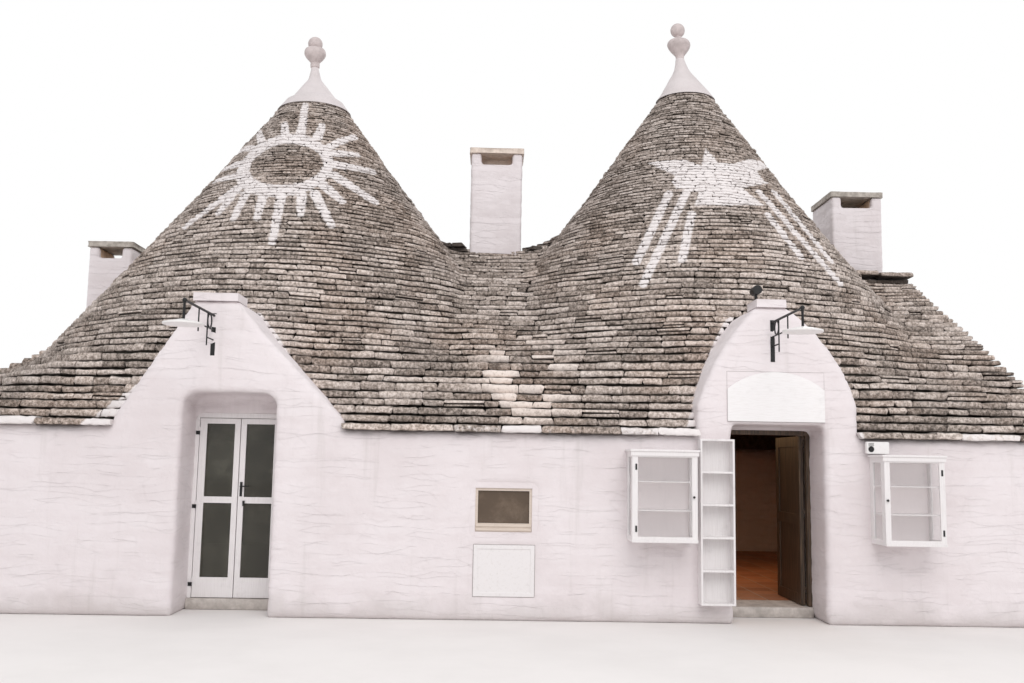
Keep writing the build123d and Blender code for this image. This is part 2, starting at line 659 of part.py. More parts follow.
def left_door_nodes():
    """The glazed double door: frame with a stop, hinges, two leaves, their panes and a handle."""
    half = DOORWAY_W / 2
    y = LEFT_RECESS_D
    clear = half - FRAME_W
    frame = door_frame(LEFT_GABLE_X, y, LEFT_PASSAGE_TOP)
    stop_y = y + FRAME_D - FRAME_STOP_D
    head = LEFT_PASSAGE_TOP - FRAME_W
    stop = block(-clear, clear, stop_y, y + FRAME_D, FLOOR_T, head)
    stop -= block(
        FRAME_STOP_W - clear, clear - FRAME_STOP_W, stop_y, y + FRAME_D, FLOOR_T, head - FRAME_STOP_W
    )
    place = Pos(LEFT_GABLE_X, 0, 0)
    frame += place * stop
    leaf_y = stop_y - DOOR_GAP - LEAF_T
    pin_y = leaf_y - HINGE_OUT
    z0 = FLOOR_T + DOOR_GAP
    z1 = head - DOOR_GAP
    pane_h = (z1 - z0 - TOP_RAIL_H - MIDDLE_RAIL_H - BOTTOM_RAIL_H) / 2
    nodes = {"left_door_frame": frame}
    hinges = []
    for name, side in (("left", -1), ("right", 1)):
        near = side * (clear - DOOR_GAP)
        far = side * MEETING_GAP / 2
        x0, x1 = sorted((near, far))
        leaf = block(x0, x1, leaf_y, leaf_y + LEAF_T, z0, z1)
        pane_x0, pane_x1 = sorted((near - side * STILE_W, far + side * MEETING_STILE_W))
        panes = []
        for row in range(2):
            pane_z = z0 + BOTTOM_RAIL_H + row * (pane_h + MIDDLE_RAIL_H)
            leaf -= block(pane_x0, pane_x1, leaf_y, leaf_y + LEAF_T, pane_z, pane_z + pane_h)
            pane_y = leaf_y + (LEAF_T - PANE_T) / 2
            panes.append(
                block(pane_x0, pane_x1, pane_y, pane_y + PANE_T, pane_z, pane_z + pane_h)
            )
        pin_x = near + side * HINGE_IN
        for z in HINGE_Z:
            fixed = knuckle(pin_x, pin_y, z - KNUCKLE_H, False)
            px0, px1 = sorted((pin_x, pin_x + side * HINGE_PLATE_W))
            fixed += block(px0, px1, y - HINGE_PLATE_T, y, z - KNUCKLE_H, z)
            hinges.append(place * fixed)
            top_z = z + KNUCKLE_GAP
            px0, px1 = sorted((pin_x, pin_x - side * HINGE_PLATE_W))
            strap = block(px0, px1, leaf_y - HINGE_PLATE_T, leaf_y, top_z, top_z + KNUCKLE_H)
            px0, px1 = sorted((pin_x - side * HINGE_IN, pin_x - side * KNUCKLE_R))
            strap += block(px0, px1, pin_y, leaf_y, top_z, top_z + KNUCKLE_H)
            strap -= Pos(pin_x, pin_y, top_z) * Cylinder(
                PIN_R + PIN_FIT, KNUCKLE_H, align=(Align.CENTER, Align.CENTER, Align.MIN)
            )
            leaf += strap + knuckle(pin_x, pin_y, top_z, True)
        nodes["door_leaf_" + name] = place * leaf
        nodes["door_glass_" + name] = place * Compound(children=panes)
    nodes["left_door_hinges"] = Compound(children=hinges)
    plate_x = (MEETING_GAP + MEETING_STILE_W - HANDLE_PLATE_W) / 2
    plate = block(
        plate_x,
        plate_x + HANDLE_PLATE_W,
        leaf_y - HANDLE_PLATE_T,
        leaf_y,
        HANDLE_Z,
        HANDLE_Z + HANDLE_PLATE_H,
    )
    hub_x = plate_x + HANDLE_PLATE_W / 2
    hub_z = HANDLE_Z + HANDLE_HUB_UP
    hub = Pos(hub_x, leaf_y, hub_z) * Rot(90, 0, 0) * Cylinder(
        HANDLE_LEVER_R, HANDLE_REACH, align=(Align.CENTER, Align.CENTER, Align.MIN)
    )
    lever_y = leaf_y - HANDLE_REACH
    lever = block(
        hub_x - HANDLE_LEVER_R,
        hub_x + HANDLE_LEVER_L,
        lever_y - HANDLE_LEVER_R,
        lever_y + HANDLE_LEVER_R / 2,
        hub_z - HANDLE_LEVER_R,
        hub_z + HANDLE_LEVER_R,
    )
    nodes["door_handle"] = place * (plate + hub + lever)
    return nodes


def shop_door_nodes():
    """The frame of the right doorway and its dark leaf, standing open into the room."""
    frame = door_frame(RIGHT_GABLE_X, RIGHT_RECESS_D, RIGHT_PASSAGE_TOP)
    inner_y = RIGHT_RECESS_D + FRAME_D
    width = DOORWAY_W - 2 * FRAME_W - 2 * SHOP_GAP
    edge_x = RIGHT_GABLE_X + width / 2
    pin_x = edge_x + SHOP_GAP
    pin_y = inner_y + KNUCKLE_R + KNUCKLE_CLEAR
    y0 = pin_y + SHOP_GAP
    z0 = FLOOR_T + DOOR_GAP
    z1 = RIGHT_PASSAGE_TOP - FRAME_W - DOOR_GAP
    leaf = block(edge_x - SHOP_LEAF_T, edge_x, y0, y0 + width, z0, z1)
    panel_h = (z1 - z0 - 3 * SHOP_STILE_W) / 2
    for row in range(2):
        pz = z0 + SHOP_STILE_W + row * (panel_h + SHOP_STILE_W)
        py0 = y0 + SHOP_STILE_W
        py1 = y0 + width - SHOP_STILE_W
        leaf -= block(edge_x - SHOP_PANEL_IN, edge_x, py0, py1, pz, pz + panel_h)
        inner_x = edge_x - SHOP_LEAF_T
        leaf -= block(inner_x, inner_x + SHOP_PANEL_IN, py0, py1, pz, pz + panel_h)
    hinges = []
    highest = z1 - 2 * KNUCKLE_H
    for hinge_z in HINGE_Z:
        z = min(hinge_z, highest)
        fixed = knuckle(pin_x, pin_y, z - KNUCKLE_H, False)
        plate_x1 = pin_x + HINGE_PLATE_W
        fixed += block(pin_x, plate_x1, inner_y, inner_y + HINGE_PLATE_T, z - KNUCKLE_H, z)
        hinges.append(fixed)
        top_z = z + KNUCKLE_GAP
        strap = block(edge_x, edge_x + HINGE_PLATE_T, pin_y, y0 + HINGE_PLATE_W, top_z, top_z + KNUCKLE_H)
        strap -= Pos(pin_x, pin_y, top_z) * Cylinder(
            PIN_R + PIN_FIT, KNUCKLE_H, align=(Align.CENTER, Align.CENTER, Align.MIN)
        )
        leaf += strap + knuckle(pin_x, pin_y, top_z, True)
    return {
        "shop_door_frame": frame,
        "shop_door_leaf": leaf,
        "shop_door_hinges": Compound(children=hinges),
    }


def window_nodes():
    """The small fixed window with its deep bottom rail, and the flush hatch below it."""
    x0 = WINDOW_X - WINDOW_W / 2
    x1 = WINDOW_X + WINDOW_W / 2
    z1 = WINDOW_Z + WINDOW_H
    y0 = WINDOW_SET
    y1 = WINDOW_SET + WINDOW_FRAME_D
    bar = WINDOW_FRAME_W
    frame = block(x0, x1, y0, y1, WINDOW_Z, z1)
    pane_y = (y0 + y1 - WINDOW_PANE_T) / 2
    clear = (x0 + bar, x1 - bar, WINDOW_Z + WINDOW_SILL_H, z1 - bar)
    frame -= block(clear[0], clear[1], y0, y1, clear[2], clear[3])
    pane = block(clear[0], clear[1], pane_y, pane_y + WINDOW_PANE_T, clear[2], clear[3])
    hx0 = HATCH_X - HATCH_W / 2
    hx1 = HATCH_X + HATCH_W / 2
    hz1 = HATCH_Z + HATCH_H
    hatch = block(hx0, hx1, -HATCH_PROUD, HATCH_T - HATCH_PROUD, HATCH_Z, hz1)
    rim = HATCH_RIM
    field_y = HATCH_FIELD_IN - HATCH_PROUD
    hatch -= block(hx0 + rim, hx1 - rim, -HATCH_PROUD, field_y, HATCH_Z + rim, hz1 - rim)
    return {"window_frame": frame, "window_glass": pane, "hatch": hatch}


def round_bar(start, end, radius):
    """A straight round bar between two points."""
    path = Line(start, end)
    return extrude(Plane(origin=start, z_dir=path % 0) * Circle(radius), amount=path.length)


def lamp_nodes(name, x, z):
    """A street lamp: wall bar, long level arm, ring and rods below it, stem and flat shade."""
    bar = block(
        x - LAMP_BAR_W / 2,
        x + LAMP_BAR_W / 2,
        -LAMP_BAR_T,
        0,
        z - LAMP_BAR_H,
        z + 2 * LAMP_ARM_R,
    )
    lower_z = z - LAMP_LOWER_DROP
    link_z = z - LAMP_LINK_DROP
    rod_y = -LAMP_ROD_REACH
    spear_y = LAMP_KNOB_R - LAMP_LOWER_REACH
    spear_z = z - LAMP_SPEAR_DROP
    bracket = bar
    bracket += round_bar((x, -LAMP_BAR_T, z), (x, -LAMP_REACH, z), LAMP_ARM_R)
    bracket += Pos(x, -LAMP_REACH, z) * Sphere(LAMP_KNOB_R)
    bracket += round_bar((x, -LAMP_BAR_T, lower_z), (x, -LAMP_LOWER_REACH, lower_z), LAMP_ROD_R)
    bracket += round_bar((x, -LAMP_BAR_T, link_z), (x, rod_y, link_z), LAMP_ROD_R)
    bracket += round_bar((x, rod_y, z), (x, rod_y, z - LAMP_ROD_DROP), LAMP_ROD_R)
    bracket += round_bar((x, spear_y, z), (x, spear_y, spear_z), LAMP_ROD_R)
    ring_r = LAMP_LOWER_DROP / 2
    ring = Circle(ring_r) - Circle(ring_r - LAMP_RING_T)
    ring_plane = Plane(origin=(x - LAMP_RING_T / 2, rod_y + ring_r, z - ring_r), z_dir=(1, 0, 0))
    bracket += extrude(ring_plane * ring, amount=LAMP_RING_T)
    bracket += round_bar((x, -LAMP_REACH, z), (x, -LAMP_REACH, z - LAMP_STEM_H), LAMP_ARM_R)
    top = z - LAMP_STEM_H
    rim_z = top - SHADE_CROWN_H
    outline = Polyline(
        (0, top),
        (SHADE_CROWN_R, top),
        (SHADE_R, rim_z),
        (SHADE_R, rim_z - SHADE_RIM_H),
        (0, rim_z - SHADE_RIM_H),
        (0, top),
    )
    shade = turned(make_face(outline), x, -LAMP_REACH)
    return {name + "_bracket": bracket, name + "_shade": shade}


def small_light_nodes():
    """The spotlight on the right gable's cap and the flat security light under the eave."""
    base_z = RIGHT_GABLE_TOP_Z + GABLE_CAP_T
    y = GABLE_CAP_D / 2 - GABLE_CAP_LIP
    post = Pos(SPOT_X, y, base_z) * Cylinder(
        SPOT_POST_R, SPOT_POST_H + SPOT_R, align=(Align.CENTER, Align.CENTER, Align.MIN)
    )
    head = Pos(SPOT_X, y, base_z + SPOT_POST_H + SPOT_R) * Rot(90, 0, 0) * Cylinder(SPOT_R, SPOT_L)
    x0 = SECURITY_X - SECURITY_W / 2
    x1 = SECURITY_X + SECURITY_W / 2
    y1 = -SECURITY_STANDOFF
    body = block(x0, x1, y1 - SECURITY_D, y1, SECURITY_Z, SECURITY_Z + SECURITY_H)
    body = fillet(body.edges().filter_by(Axis.Y), SECURITY_CORNER_R)
    arm_z = SECURITY_Z + (SECURITY_H - SECURITY_ARM_H) / 2
    arm = block(
        SECURITY_X - SECURITY_ARM_W / 2,
        SECURITY_X + SECURITY_ARM_W / 2,
        y1,
        0,
        arm_z,
        arm_z + SECURITY_ARM_H,
    )
    return {"spotlight": post + head, "security_light": body + arm}


def sign_board():
    """A bare board with an arched top above the right doorway."""
    half = SIGN_W / 2
    sides = Polyline((-half, SIGN_SIDE_H), (-half, 0), (half, 0), (half, SIGN_SIDE_H))
    arch = ThreePointArc((half, SIGN_SIDE_H), (0, SIGN_H), (-half, SIGN_SIDE_H))
    outline = Pos(SIGN_X, SIGN_Z) * make_face(sides + arch)
    return street_outline(outline, -SIGN_T, 0)


def display_case(name, x, z, width, height):
    """A wall case with a cornice and shelves, glazed in front and at both sides."""
    x0 = x - width / 2
    x1 = x + width / 2
    z1 = z + height
    board = CASE_BOARD_T
    case = block(x0, x1, -CASE_D, 0, z, z1)
    case -= block(x0 + board, x1 - board, -CASE_D + board, -board, z + board, z1 - board)
    frame = CASE_FRAME_W
    case -= block(x0 + frame, x1 - frame, -CASE_D, -CASE_D + board, z + frame, z1 - frame)
    stile = CASE_SIDE_STILE_W
    side_y0 = stile - CASE_D
    case -= block(x0, x1, side_y0, -stile, z + frame, z1 - frame)
    shelf_gap = (height - 2 * board) / (CASE_SHELVES + 1)
    for shelf in range(CASE_SHELVES):
        shelf_z = z + board + shelf_gap * (shelf + 1)
        case += block(x0 + board, x1 - board, -CASE_D + 2 * board, 0, shelf_z, shelf_z + board / 2)
    lip = CASE_CORNICE_LIP
    case += block(x0 - lip, x1 + lip, -CASE_D - lip, 0, z1, z1 + board)
    pane_y = -CASE_D + (board - CASE_PANE_T) / 2
    panes = [block(x0 + frame, x1 - frame, pane_y, pane_y + CASE_PANE_T, z + frame, z1 - frame)]
    inset = (board - CASE_PANE_T) / 2
    for pane_x in (x0 + inset, x1 - inset - CASE_PANE_T):
        panes.append(block(pane_x, pane_x + CASE_PANE_T, side_y0, -stile, z + frame, z1 - frame))
    return {name: case, name + "_glass": Compound(children=panes)}


def shelf_rack():
    """The tall open rack beside the right doorway."""
    board = CASE_BOARD_T
    x0 = RACK_X - RACK_W / 2
    x1 = RACK_X + RACK_W / 2
    rack = block(x0, x1, -RACK_D, 0, RACK_Z, RACK_Z + RACK_H)
    cell = (RACK_H - board) / RACK_CELLS
    for row in range(RACK_CELLS):
        z0 = RACK_Z + board + row * cell
        rack -= block(x0 + board, x1 - board, -RACK_D, -board / 2, z0, z0 + cell - board)
    return rack


def gable_cap(x, z, width):
    """The flat stone that finishes a gable."""
    y0 = -GABLE_CAP_LIP
    return block(x - width / 2, x + width / 2, y0, y0 + GABLE_CAP_D, z, z + GABLE_CAP_T)


def all_nodes():
    nodes = {}
    nodes.update(wall_nodes())
    nodes["middle_wall"] = middle_wall()
    nodes.update(floor_nodes())
    nodes["left_gable"] = left_gable_solid() - left_doorway()
    nodes["right_gable"] = right_gable_solid() - right_doorway()
    left_cap = gable_cap(LEFT_GABLE_X + LEFT_GABLE_APEX_X, LEFT_GABLE_TOP_Z, LEFT_CAP_W)
    right_cap = gable_cap(RIGHT_GABLE_X + RIGHT_GABLE_APEX_X, RIGHT_GABLE_TOP_Z, RIGHT_CAP_W)
    nodes["left_gable_cap"] = left_cap
    nodes["right_gable_cap"] = right_cap
    nodes.update(roof_halves())
    nodes.update(eave_slabs())
    for axis_x, name in ((LEFT_CELL_X, "left_dome"), (RIGHT_CELL_X, "right_dome")):
        nodes[name] = Pos(axis_x, AXIS_Y, 0) * (dome_solid(DOME_T) - dome_solid(0))
    crowns = (
        ("left", LEFT_CELL_X, LEFT_TOP_R, LEFT_TOP_Z, LEFT_CUP_R, LEFT_CUP_H, LEFT_LEAN),
        ("right", RIGHT_CELL_X, RIGHT_TOP_R, RIGHT_TOP_Z, RIGHT_CUP_R, RIGHT_CUP_H, RIGHT_LEAN),
    )
    for name, x, top_r, foot_z, cup_r, cup_h, lean in crowns:
        plaster, cup = pinnacle(x, top_r + PLASTER_LIP, foot_z, cup_r, cup_h, lean)
        nodes[name + "_plaster_cone"] = plaster
        nodes[name + "_finial"] = cup
    nodes.update(chimney_nodes("left_chimney", LEFT_CHIMNEY))
    nodes.update(chimney_nodes("middle_chimney", MIDDLE_CHIMNEY))
    nodes.update(chimney_nodes("right_chimney", RIGHT_CHIMNEY))
    nodes.update(left_door_nodes())
    nodes.update(shop_door_nodes())
    nodes.update(window_nodes())
    nodes.update(lamp_nodes("left_lamp", LEFT_LAMP_X, LEFT_LAMP_Z))
    nodes.update(lamp_nodes("right_lamp", RIGHT_LAMP_X, RIGHT_LAMP_Z))
    nodes.update(small_light_nodes())
    nodes["sign_board"] = sign_board()
    nodes.update(display_case("left_case", LEFT_CASE_X, LEFT_CASE_Z, LEFT_CASE_W, LEFT_CASE_H))
    nodes.update(display_case("right_case", RIGHT_CASE_X, RIGHT_CASE_Z, RIGHT_CASE_W, RIGHT_CASE_H))
    nodes["shelf_rack"] = shelf_rack()
    return nodes


os.makedirs("parts", exist_ok=True)
for node, shape in all_nodes().items():
    placed = Pos(0, -FACADE_FROM_CENTRE, 0) * shape
    export_step(placed, "parts/" + node + ".step")
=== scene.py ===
import itertools
import math
import random

import bmesh
import bpy
import numpy as np
from mathutils import Matrix, Vector, noise
from mathutils.bvhtree import BVHTree


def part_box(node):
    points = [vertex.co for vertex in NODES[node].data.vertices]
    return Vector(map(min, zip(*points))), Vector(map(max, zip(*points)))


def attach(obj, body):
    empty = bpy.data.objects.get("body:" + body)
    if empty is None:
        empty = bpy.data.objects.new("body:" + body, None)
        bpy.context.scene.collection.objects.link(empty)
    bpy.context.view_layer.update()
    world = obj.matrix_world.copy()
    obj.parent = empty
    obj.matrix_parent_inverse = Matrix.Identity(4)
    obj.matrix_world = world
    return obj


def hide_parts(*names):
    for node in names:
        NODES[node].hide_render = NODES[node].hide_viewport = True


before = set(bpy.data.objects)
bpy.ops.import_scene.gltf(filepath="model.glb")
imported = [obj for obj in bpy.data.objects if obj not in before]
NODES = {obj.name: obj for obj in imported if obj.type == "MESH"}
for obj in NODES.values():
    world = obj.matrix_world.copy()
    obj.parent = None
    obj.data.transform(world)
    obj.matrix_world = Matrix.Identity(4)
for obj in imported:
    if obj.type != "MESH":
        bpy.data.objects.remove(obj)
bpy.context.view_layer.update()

# Looks of a whitewashed trullo house. Lengths are in metres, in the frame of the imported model:
# x along the street, y inward from the street, z up.

STREET_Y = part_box("front_wall_middle")[0].y
REAR_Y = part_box("back_wall_left")[1].y
BACK_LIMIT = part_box("back_eave")[1].y
HALF_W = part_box("party_wall_right")[1].x
WALL_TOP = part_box("front_wall_middle")[1].z
ROOF_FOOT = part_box("back_eave")[1].z
ROOM_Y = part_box("floor")[0].y
ABOVE_ALL = 9
WELD = 1e-5


def middle(node):
    """The centre of a node's box."""
    low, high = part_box(node)
    return (low + high) / 2


def clamp(value, low=0, high=1):
    return min(max(value, low), high)


def with_settings(thing, **settings):
    for key, value in settings.items():
        setattr(thing, key, value)
    return thing


LEFT_AXIS = middle("left_plaster_cone").x
RIGHT_AXIS = middle("right_plaster_cone").x
AXIS_Y = middle("left_plaster_cone").y


# Materials

def add_node(tree, kind, inputs=None, **settings):
    """A shader node with its inputs linked or set."""
    node = with_settings(tree.nodes.new("ShaderNode" + kind), **settings)
    for key, value in (inputs or {}).items():
        if isinstance(value, bpy.types.NodeSocket):
            tree.links.new(value, node.inputs[key])
        else:
            node.inputs[key].default_value = value
    return node


class Paint:
    """A node material in the making: values from 0 to 1, colours, and bumps."""

    def __init__(self, name, roughness, **fixed):
        self.material = bpy.data.materials.new(name)
        self.material.use_nodes = True
        self.tree = self.material.node_tree
        self.shader = self.tree.nodes["Principled BSDF"]
        self.shader.inputs["Roughness"].default_value = roughness
        for key, value in fixed.items():
            self.shader.inputs[key].default_value = value
        self.colour = None

    def add(self, kind, inputs=None, **settings):
        return add_node(self.tree, kind, inputs, **settings)

    def place(self, stretch=(1, 1, 1)):
        """Object coordinates, stretched along each axis."""
        spot = self.add("TexCoord").outputs["Object"]
        return self.add("Mapping", {"Vector": spot, "Scale": stretch}).outputs["Vector"]

    def height(self):
        return self.add("SeparateXYZ", {0: self.place()}).outputs["Z"]

    def upward(self):
        """How far a surface faces up."""
        normal = self.add("NewGeometry").outputs["Normal"]
        return self.calc("MAXIMUM", self.add("SeparateXYZ", {0: normal}).outputs["Z"], 0.0)

    def cloud(self, scale, detail=4, rough=0.55, stretch=(1, 1, 1)):
        """A noise value."""
        inputs = {"Vector": self.place(stretch), "Scale": scale, "Detail": detail, "Roughness": rough}
        return self.add("TexNoise", inputs).outputs["Fac"]

    def attribute(self, name):
        return self.add("Attribute", attribute_name=name).outputs["Fac"]

    def calc(self, operation, first, *others):
        """The result of an operation on values, taken in turn."""
        for other in others:
            first = self.add("Math", {0: first, 1: other}, operation=operation).outputs[0]
        return first

    def times(self, *values):
        return self.calc("MULTIPLY", *values)

    def total(self, *values):
        return self.calc("ADD", *values)

    def ramp(self, value, low, high, to_low=0.0, to_high=1.0):
        """Maps a value between two limits, smoothly and clamped."""
        inputs = {"Value": value, "From Min": low, "From Max": high, "To Min": to_low, "To Max": to_high}
        return self.add("MapRange", inputs, interpolation_type="SMOOTHSTEP").outputs["Result"]

    def blend(self, share, a, b, how="MIX"):
        """Mixes two colours."""
        a, b = [(*colour, 1) if isinstance(colour, tuple) else colour for colour in (a, b)]
        return self.add("Mix", {0: share, 6: a, 7: b}, data_type="RGBA", blend_type=how).outputs[2]

    def over(self, share, colour, how="MIX"):
        """Lays a share of a colour over the paint's own."""
        self.colour = self.blend(share, self.colour, colour, how)

    def tones(self, value, stops):
        """A colour ramp."""
        node = self.add("ValToRGB", {"Fac": value})
        points = node.color_ramp.elements
        while len(points) < len(stops):
            points.new(0.5)
        for point, (spot, colour) in zip(points, stops):
            point.position = spot
            point.color = (*colour, 1)
        return node.outputs["Color"]

    def finish(self, *bumps):
        """Links the colour, and a chain of bumps given as height, strength and distance."""
        self.tree.links.new(self.colour, self.shader.inputs["Base Color"])
        below = {}
        for height, strength, distance in bumps:
            node = self.add("Bump", {"Height": height, "Strength": strength, "Distance": distance, **below})
            below = {"Normal": node.outputs["Normal"]}
        self.tree.links.new(below["Normal"], self.shader.inputs["Normal"])
        return self.material


WASH_LIGHT = (0.785, 0.725, 0.735)
WASH_DARK = (0.7, 0.63, 0.635)
LEDGES = ((10.5, 2.6, 1.5), (7.0, 2.2, 2.3))  # How many a metre, their sway and its scale
LEDGE_STRETCH = (0.8, 0.8, 1.1)
LEDGE_SHADE_BAND = (0.84, 0.99)
BLOCKS_PER_METRE = (2.3, 2.3, 5.6)


def limewash(name, light=WASH_LIGHT, dark=WASH_DARK, joints=0.75, grime=0.4):
    """Whitewash over coursed stone: soft ledges with painted shade under each, faint joints, patches, drips
    and a grey foot.
    """
    m = Paint(name, 0.88)
    patches = m.ramp(m.cloud(1.3, 5), 0.38, 0.68, 0, 0.6)
    m.colour = m.blend(patches, light, dark)
    m.over(m.ramp(m.cloud(9, 5, 0.65), 0.52, 0.8, 0, 0.35), dark)
    drips = m.ramp(m.cloud(5, 4, 0.6, (1.6, 1.6, 0.12)), 0.56, 0.78, 0, 0.3)
    m.over(drips, (0.52, 0.48, 0.46))
    z = m.height()
    foot = m.ramp(m.total(z, m.times(m.cloud(3, 5), 0.5)), 0.28, 0.52, grime, 0)
    m.over(foot, (0.47, 0.43, 0.41))
    ledges = 0.0
    ledge_shade = 0.0
    for often, sway, scale in LEDGES:
        bent = m.times(m.cloud(scale, 3, 0.45, LEDGE_STRETCH), sway)
        saw = m.calc("MODULO", m.total(m.times(z, often), bent), 1.0)
        ledges = m.calc("SUBTRACT", ledges, saw)
        ledge_shade = m.calc("MAXIMUM", ledge_shade, m.ramp(saw, *LEDGE_SHADE_BAND))
    broken = m.ramp(m.cloud(3.6, 4, 0.6, (0.8, 0.8, 1.9)), 0.42, 0.58)
    shown = m.times(broken, joints)
    # Painted shade: a dark band just under the lower edge of each ledge.
    m.over(m.times(ledge_shade, shown, 0.17), (0.45, 0.39, 0.39))
    inputs = {"Vector": m.place(BLOCKS_PER_METRE), "Scale": 1.0, "Randomness": 0.85}
    blocks = m.add("TexVoronoi", inputs, feature="DISTANCE_TO_EDGE")
    joint = m.times(m.ramp(blocks.outputs["Distance"], 0.0, 0.06, 1, 0), broken)
    m.over(m.times(joint, 0.06), (0.42, 0.37, 0.36))
    groove = m.calc("SUBTRACT", 1.0, joint)
    lumps = (m.cloud(7, 6, 0.6), 0.45, 0.024)
    grain = (m.cloud(70, 4, 0.7), 0.25, 0.004)
    return m.finish((ledges, shown, 0.02), (groove, 0.4 * joints, 0.006), lumps, grain)


STONE_TONES = (
    (0.2, (0.12, 0.096, 0.081)),
    (0.42, (0.33, 0.272, 0.235)),
    (0.63, (0.57, 0.485, 0.434)),
    (0.86, (0.82, 0.724, 0.668)),
)
DARKENS_FROM_Z = 3.9
DARKEST_Z = 5.9
PAINT_EDGE = 0.012


def roof_stone():
    """Weathered grey-brown limestone, darker on top with lichen and painted shade, whitewashed where a sign is
    painted.
    """
    m = Paint("roof_stone", 0.95)
    tone = m.attribute("tone")
    fine = m.ramp(m.cloud(30, 8, 0.72), 0.3, 0.7)
    level = m.total(m.times(tone, 0.36), m.times(fine, 0.6), m.times(m.cloud(0.9, 3), 0.12))
    m.colour = m.tones(level, STONE_TONES)
    warm = m.ramp(m.cloud(0.7, 2), 0.45, 0.65, 0, 0.3)
    m.over(warm, (0.46, 0.33, 0.25), "SOFT_LIGHT")
    lichen = m.ramp(m.cloud(21, 6, 0.78), 0.56, 0.66, 0, 0.6)
    m.over(lichen, (0.11, 0.098, 0.086))
    pale = m.ramp(m.cloud(34, 5, 0.72), 0.58, 0.68, 0, 0.6)
    m.over(pale, (0.68, 0.63, 0.585))
    m.over(m.ramp(m.height(), DARKENS_FROM_Z, DARKEST_Z), (0.85, 0.85, 0.85), "MULTIPLY")
    # Faces turned up are darker: partly lichen, partly painted shade along the courses.
    top = m.ramp(m.upward(), 0.6, 0.95, 0, 0.5)
    m.over(top, (0.1, 0.086, 0.074))
    # Painted shade along each stone's foot and back, half as much along its top edge.
    joint = m.times(m.attribute("joint"), 0.88)
    m.over(joint, (0.045, 0.034, 0.028))
    fresh = m.times(m.attribute("fresh"), m.ramp(tone, 0.5, 0.54, 0, 0.9), m.ramp(fine, 0.0, 0.5, 0.6, 1))
    m.over(fresh, (0.88, 0.78, 0.72))
    coarse = m.cloud(16, 6, 0.75)
    ragged = m.times(m.calc("SUBTRACT", coarse, 0.5), 0.07)
    painted = m.ramp(m.total(m.attribute("paint"), ragged), -PAINT_EDGE, PAINT_EDGE)
    worn = m.ramp(m.upward(), 0.55, 0.9, 1, 0.7)
    chips = m.ramp(m.cloud(45, 4, 0.7), 0.28, 0.36)
    # Less whitewash at the stones' joints, so the painted shade shows there too.
    shaded = m.calc("SUBTRACT", 1.0, m.times(joint, 0.45))
    m.over(m.times(painted, worn, chips, shaded), (0.86, 0.81, 0.8))
    return m.finish((m.cloud(16, 6, 0.7), 0.7, 0.022), (m.cloud(90, 4, 0.8), 0.6, 0.007))


def bare_stone(name, light, dark, scale=14):
    """Plain worn limestone."""
    m = Paint(name, 0.85)
    m.colour = m.blend(m.ramp(m.cloud(scale, 6, 0.65), 0.3, 0.7), dark, light)
    stains = m.ramp(m.cloud(3, 4), 0.5, 0.75, 0, 0.4)
    m.over(stains, tuple(0.6 * c for c in dark))
    return m.finish((m.cloud(scale, 6, 0.7), 0.5, 0.01), (m.cloud(120, 3, 0.8), 0.4, 0.003))


def painted_wood(name, light, dark, roughness=0.42, grain=(30, 30, 1.2)):
    """Brush-painted wood with faint grain and handled, greyer patches."""
    m = Paint(name, roughness)
    strokes = m.cloud(4, 5, 0.6, grain)
    m.colour = m.blend(m.ramp(strokes, 0.4, 0.75, 0, 0.45), light, dark)
    dirt = m.ramp(m.cloud(5, 6, 0.65), 0.55, 0.8, 0, 0.35)
    m.over(dirt, tuple(0.7 * c for c in dark))
    return m.finish((strokes, 0.25, 0.002), (m.cloud(60, 3), 0.08, 0.002))


def dark_wood():
    m = Paint("dark_wood", 0.5)
    rings = m.cloud(3, 6, 0.6, (26, 26, 1.1))
    m.colour = m.blend(m.ramp(rings, 0.35, 0.7), (0.035, 0.022, 0.014), (0.12, 0.075, 0.045))
    return m.finish((rings, 0.4, 0.003))


def metal(name, light, dark, roughness, metallic=0.0):
    """Painted or plain metal with fine specks and slight wear."""
    m = Paint(name, roughness, Metallic=metallic)
    m.colour = m.blend(m.ramp(m.cloud(30, 6, 0.7), 0.5, 0.75, 0, 0.5), light, dark)
    return m.finish((m.cloud(160, 3, 0.7), 0.15, 0.001))


def glass(name, light, dark, cover):
    """A dusty pane. Where dark and mostly covering, it is painted shade of the room behind. Cover is the share
    of what lies behind that it hides.
    """
    m = Paint(name, 0.06, Alpha=cover, IOR=1.45)
    m.colour = m.blend(m.ramp(m.cloud(3, 6, 0.7), 0.4, 0.8), dark, light)
    return m.finish((m.cloud(2.2, 2), 0.05, 0.01))


def floor_tiles():
    """Square terracotta tiles with pale joints."""
    m = Paint("floor_tiles", 0.55)
    bricks = {"Color1": (0.34, 0.13, 0.07, 1), "Color2": (0.5, 0.22, 0.12, 1), "Mortar": (0.45, 0.38, 0.32, 1)}
    bricks |= {"Vector": m.place(), "Scale": 1.0, "Mortar Size": 0.006, "Brick Width": 0.3, "Row Height": 0.3}
    tiles = m.add("TexBrick", bricks, offset=0.0)
    m.colour = m.blend(m.ramp(m.cloud(12, 6), 0.4, 0.8, 0, 0.5), tiles.outputs["Color"], (0.24, 0.1, 0.06))
    groove = m.calc("SUBTRACT", 1.0, tiles.outputs["Fac"])
    return m.finish((groove, 0.6, 0.004), (m.cloud(40, 4), 0.15, 0.004))


def room_wash_painted_lamplight():
    """The limewash inside the rooms, with painted warm lamplight in its ochre colour."""
    m = Paint("room_wash_painted_lamplight", 0.9)
    m.colour = m.blend(m.ramp(m.cloud(1.6, 5), 0.35, 0.7), (0.66, 0.42, 0.24), (0.45, 0.26, 0.14))
    return m.finish((m.cloud(7, 6, 0.6), 0.4, 0.02), (m.cloud(60, 4), 0.3, 0.004))


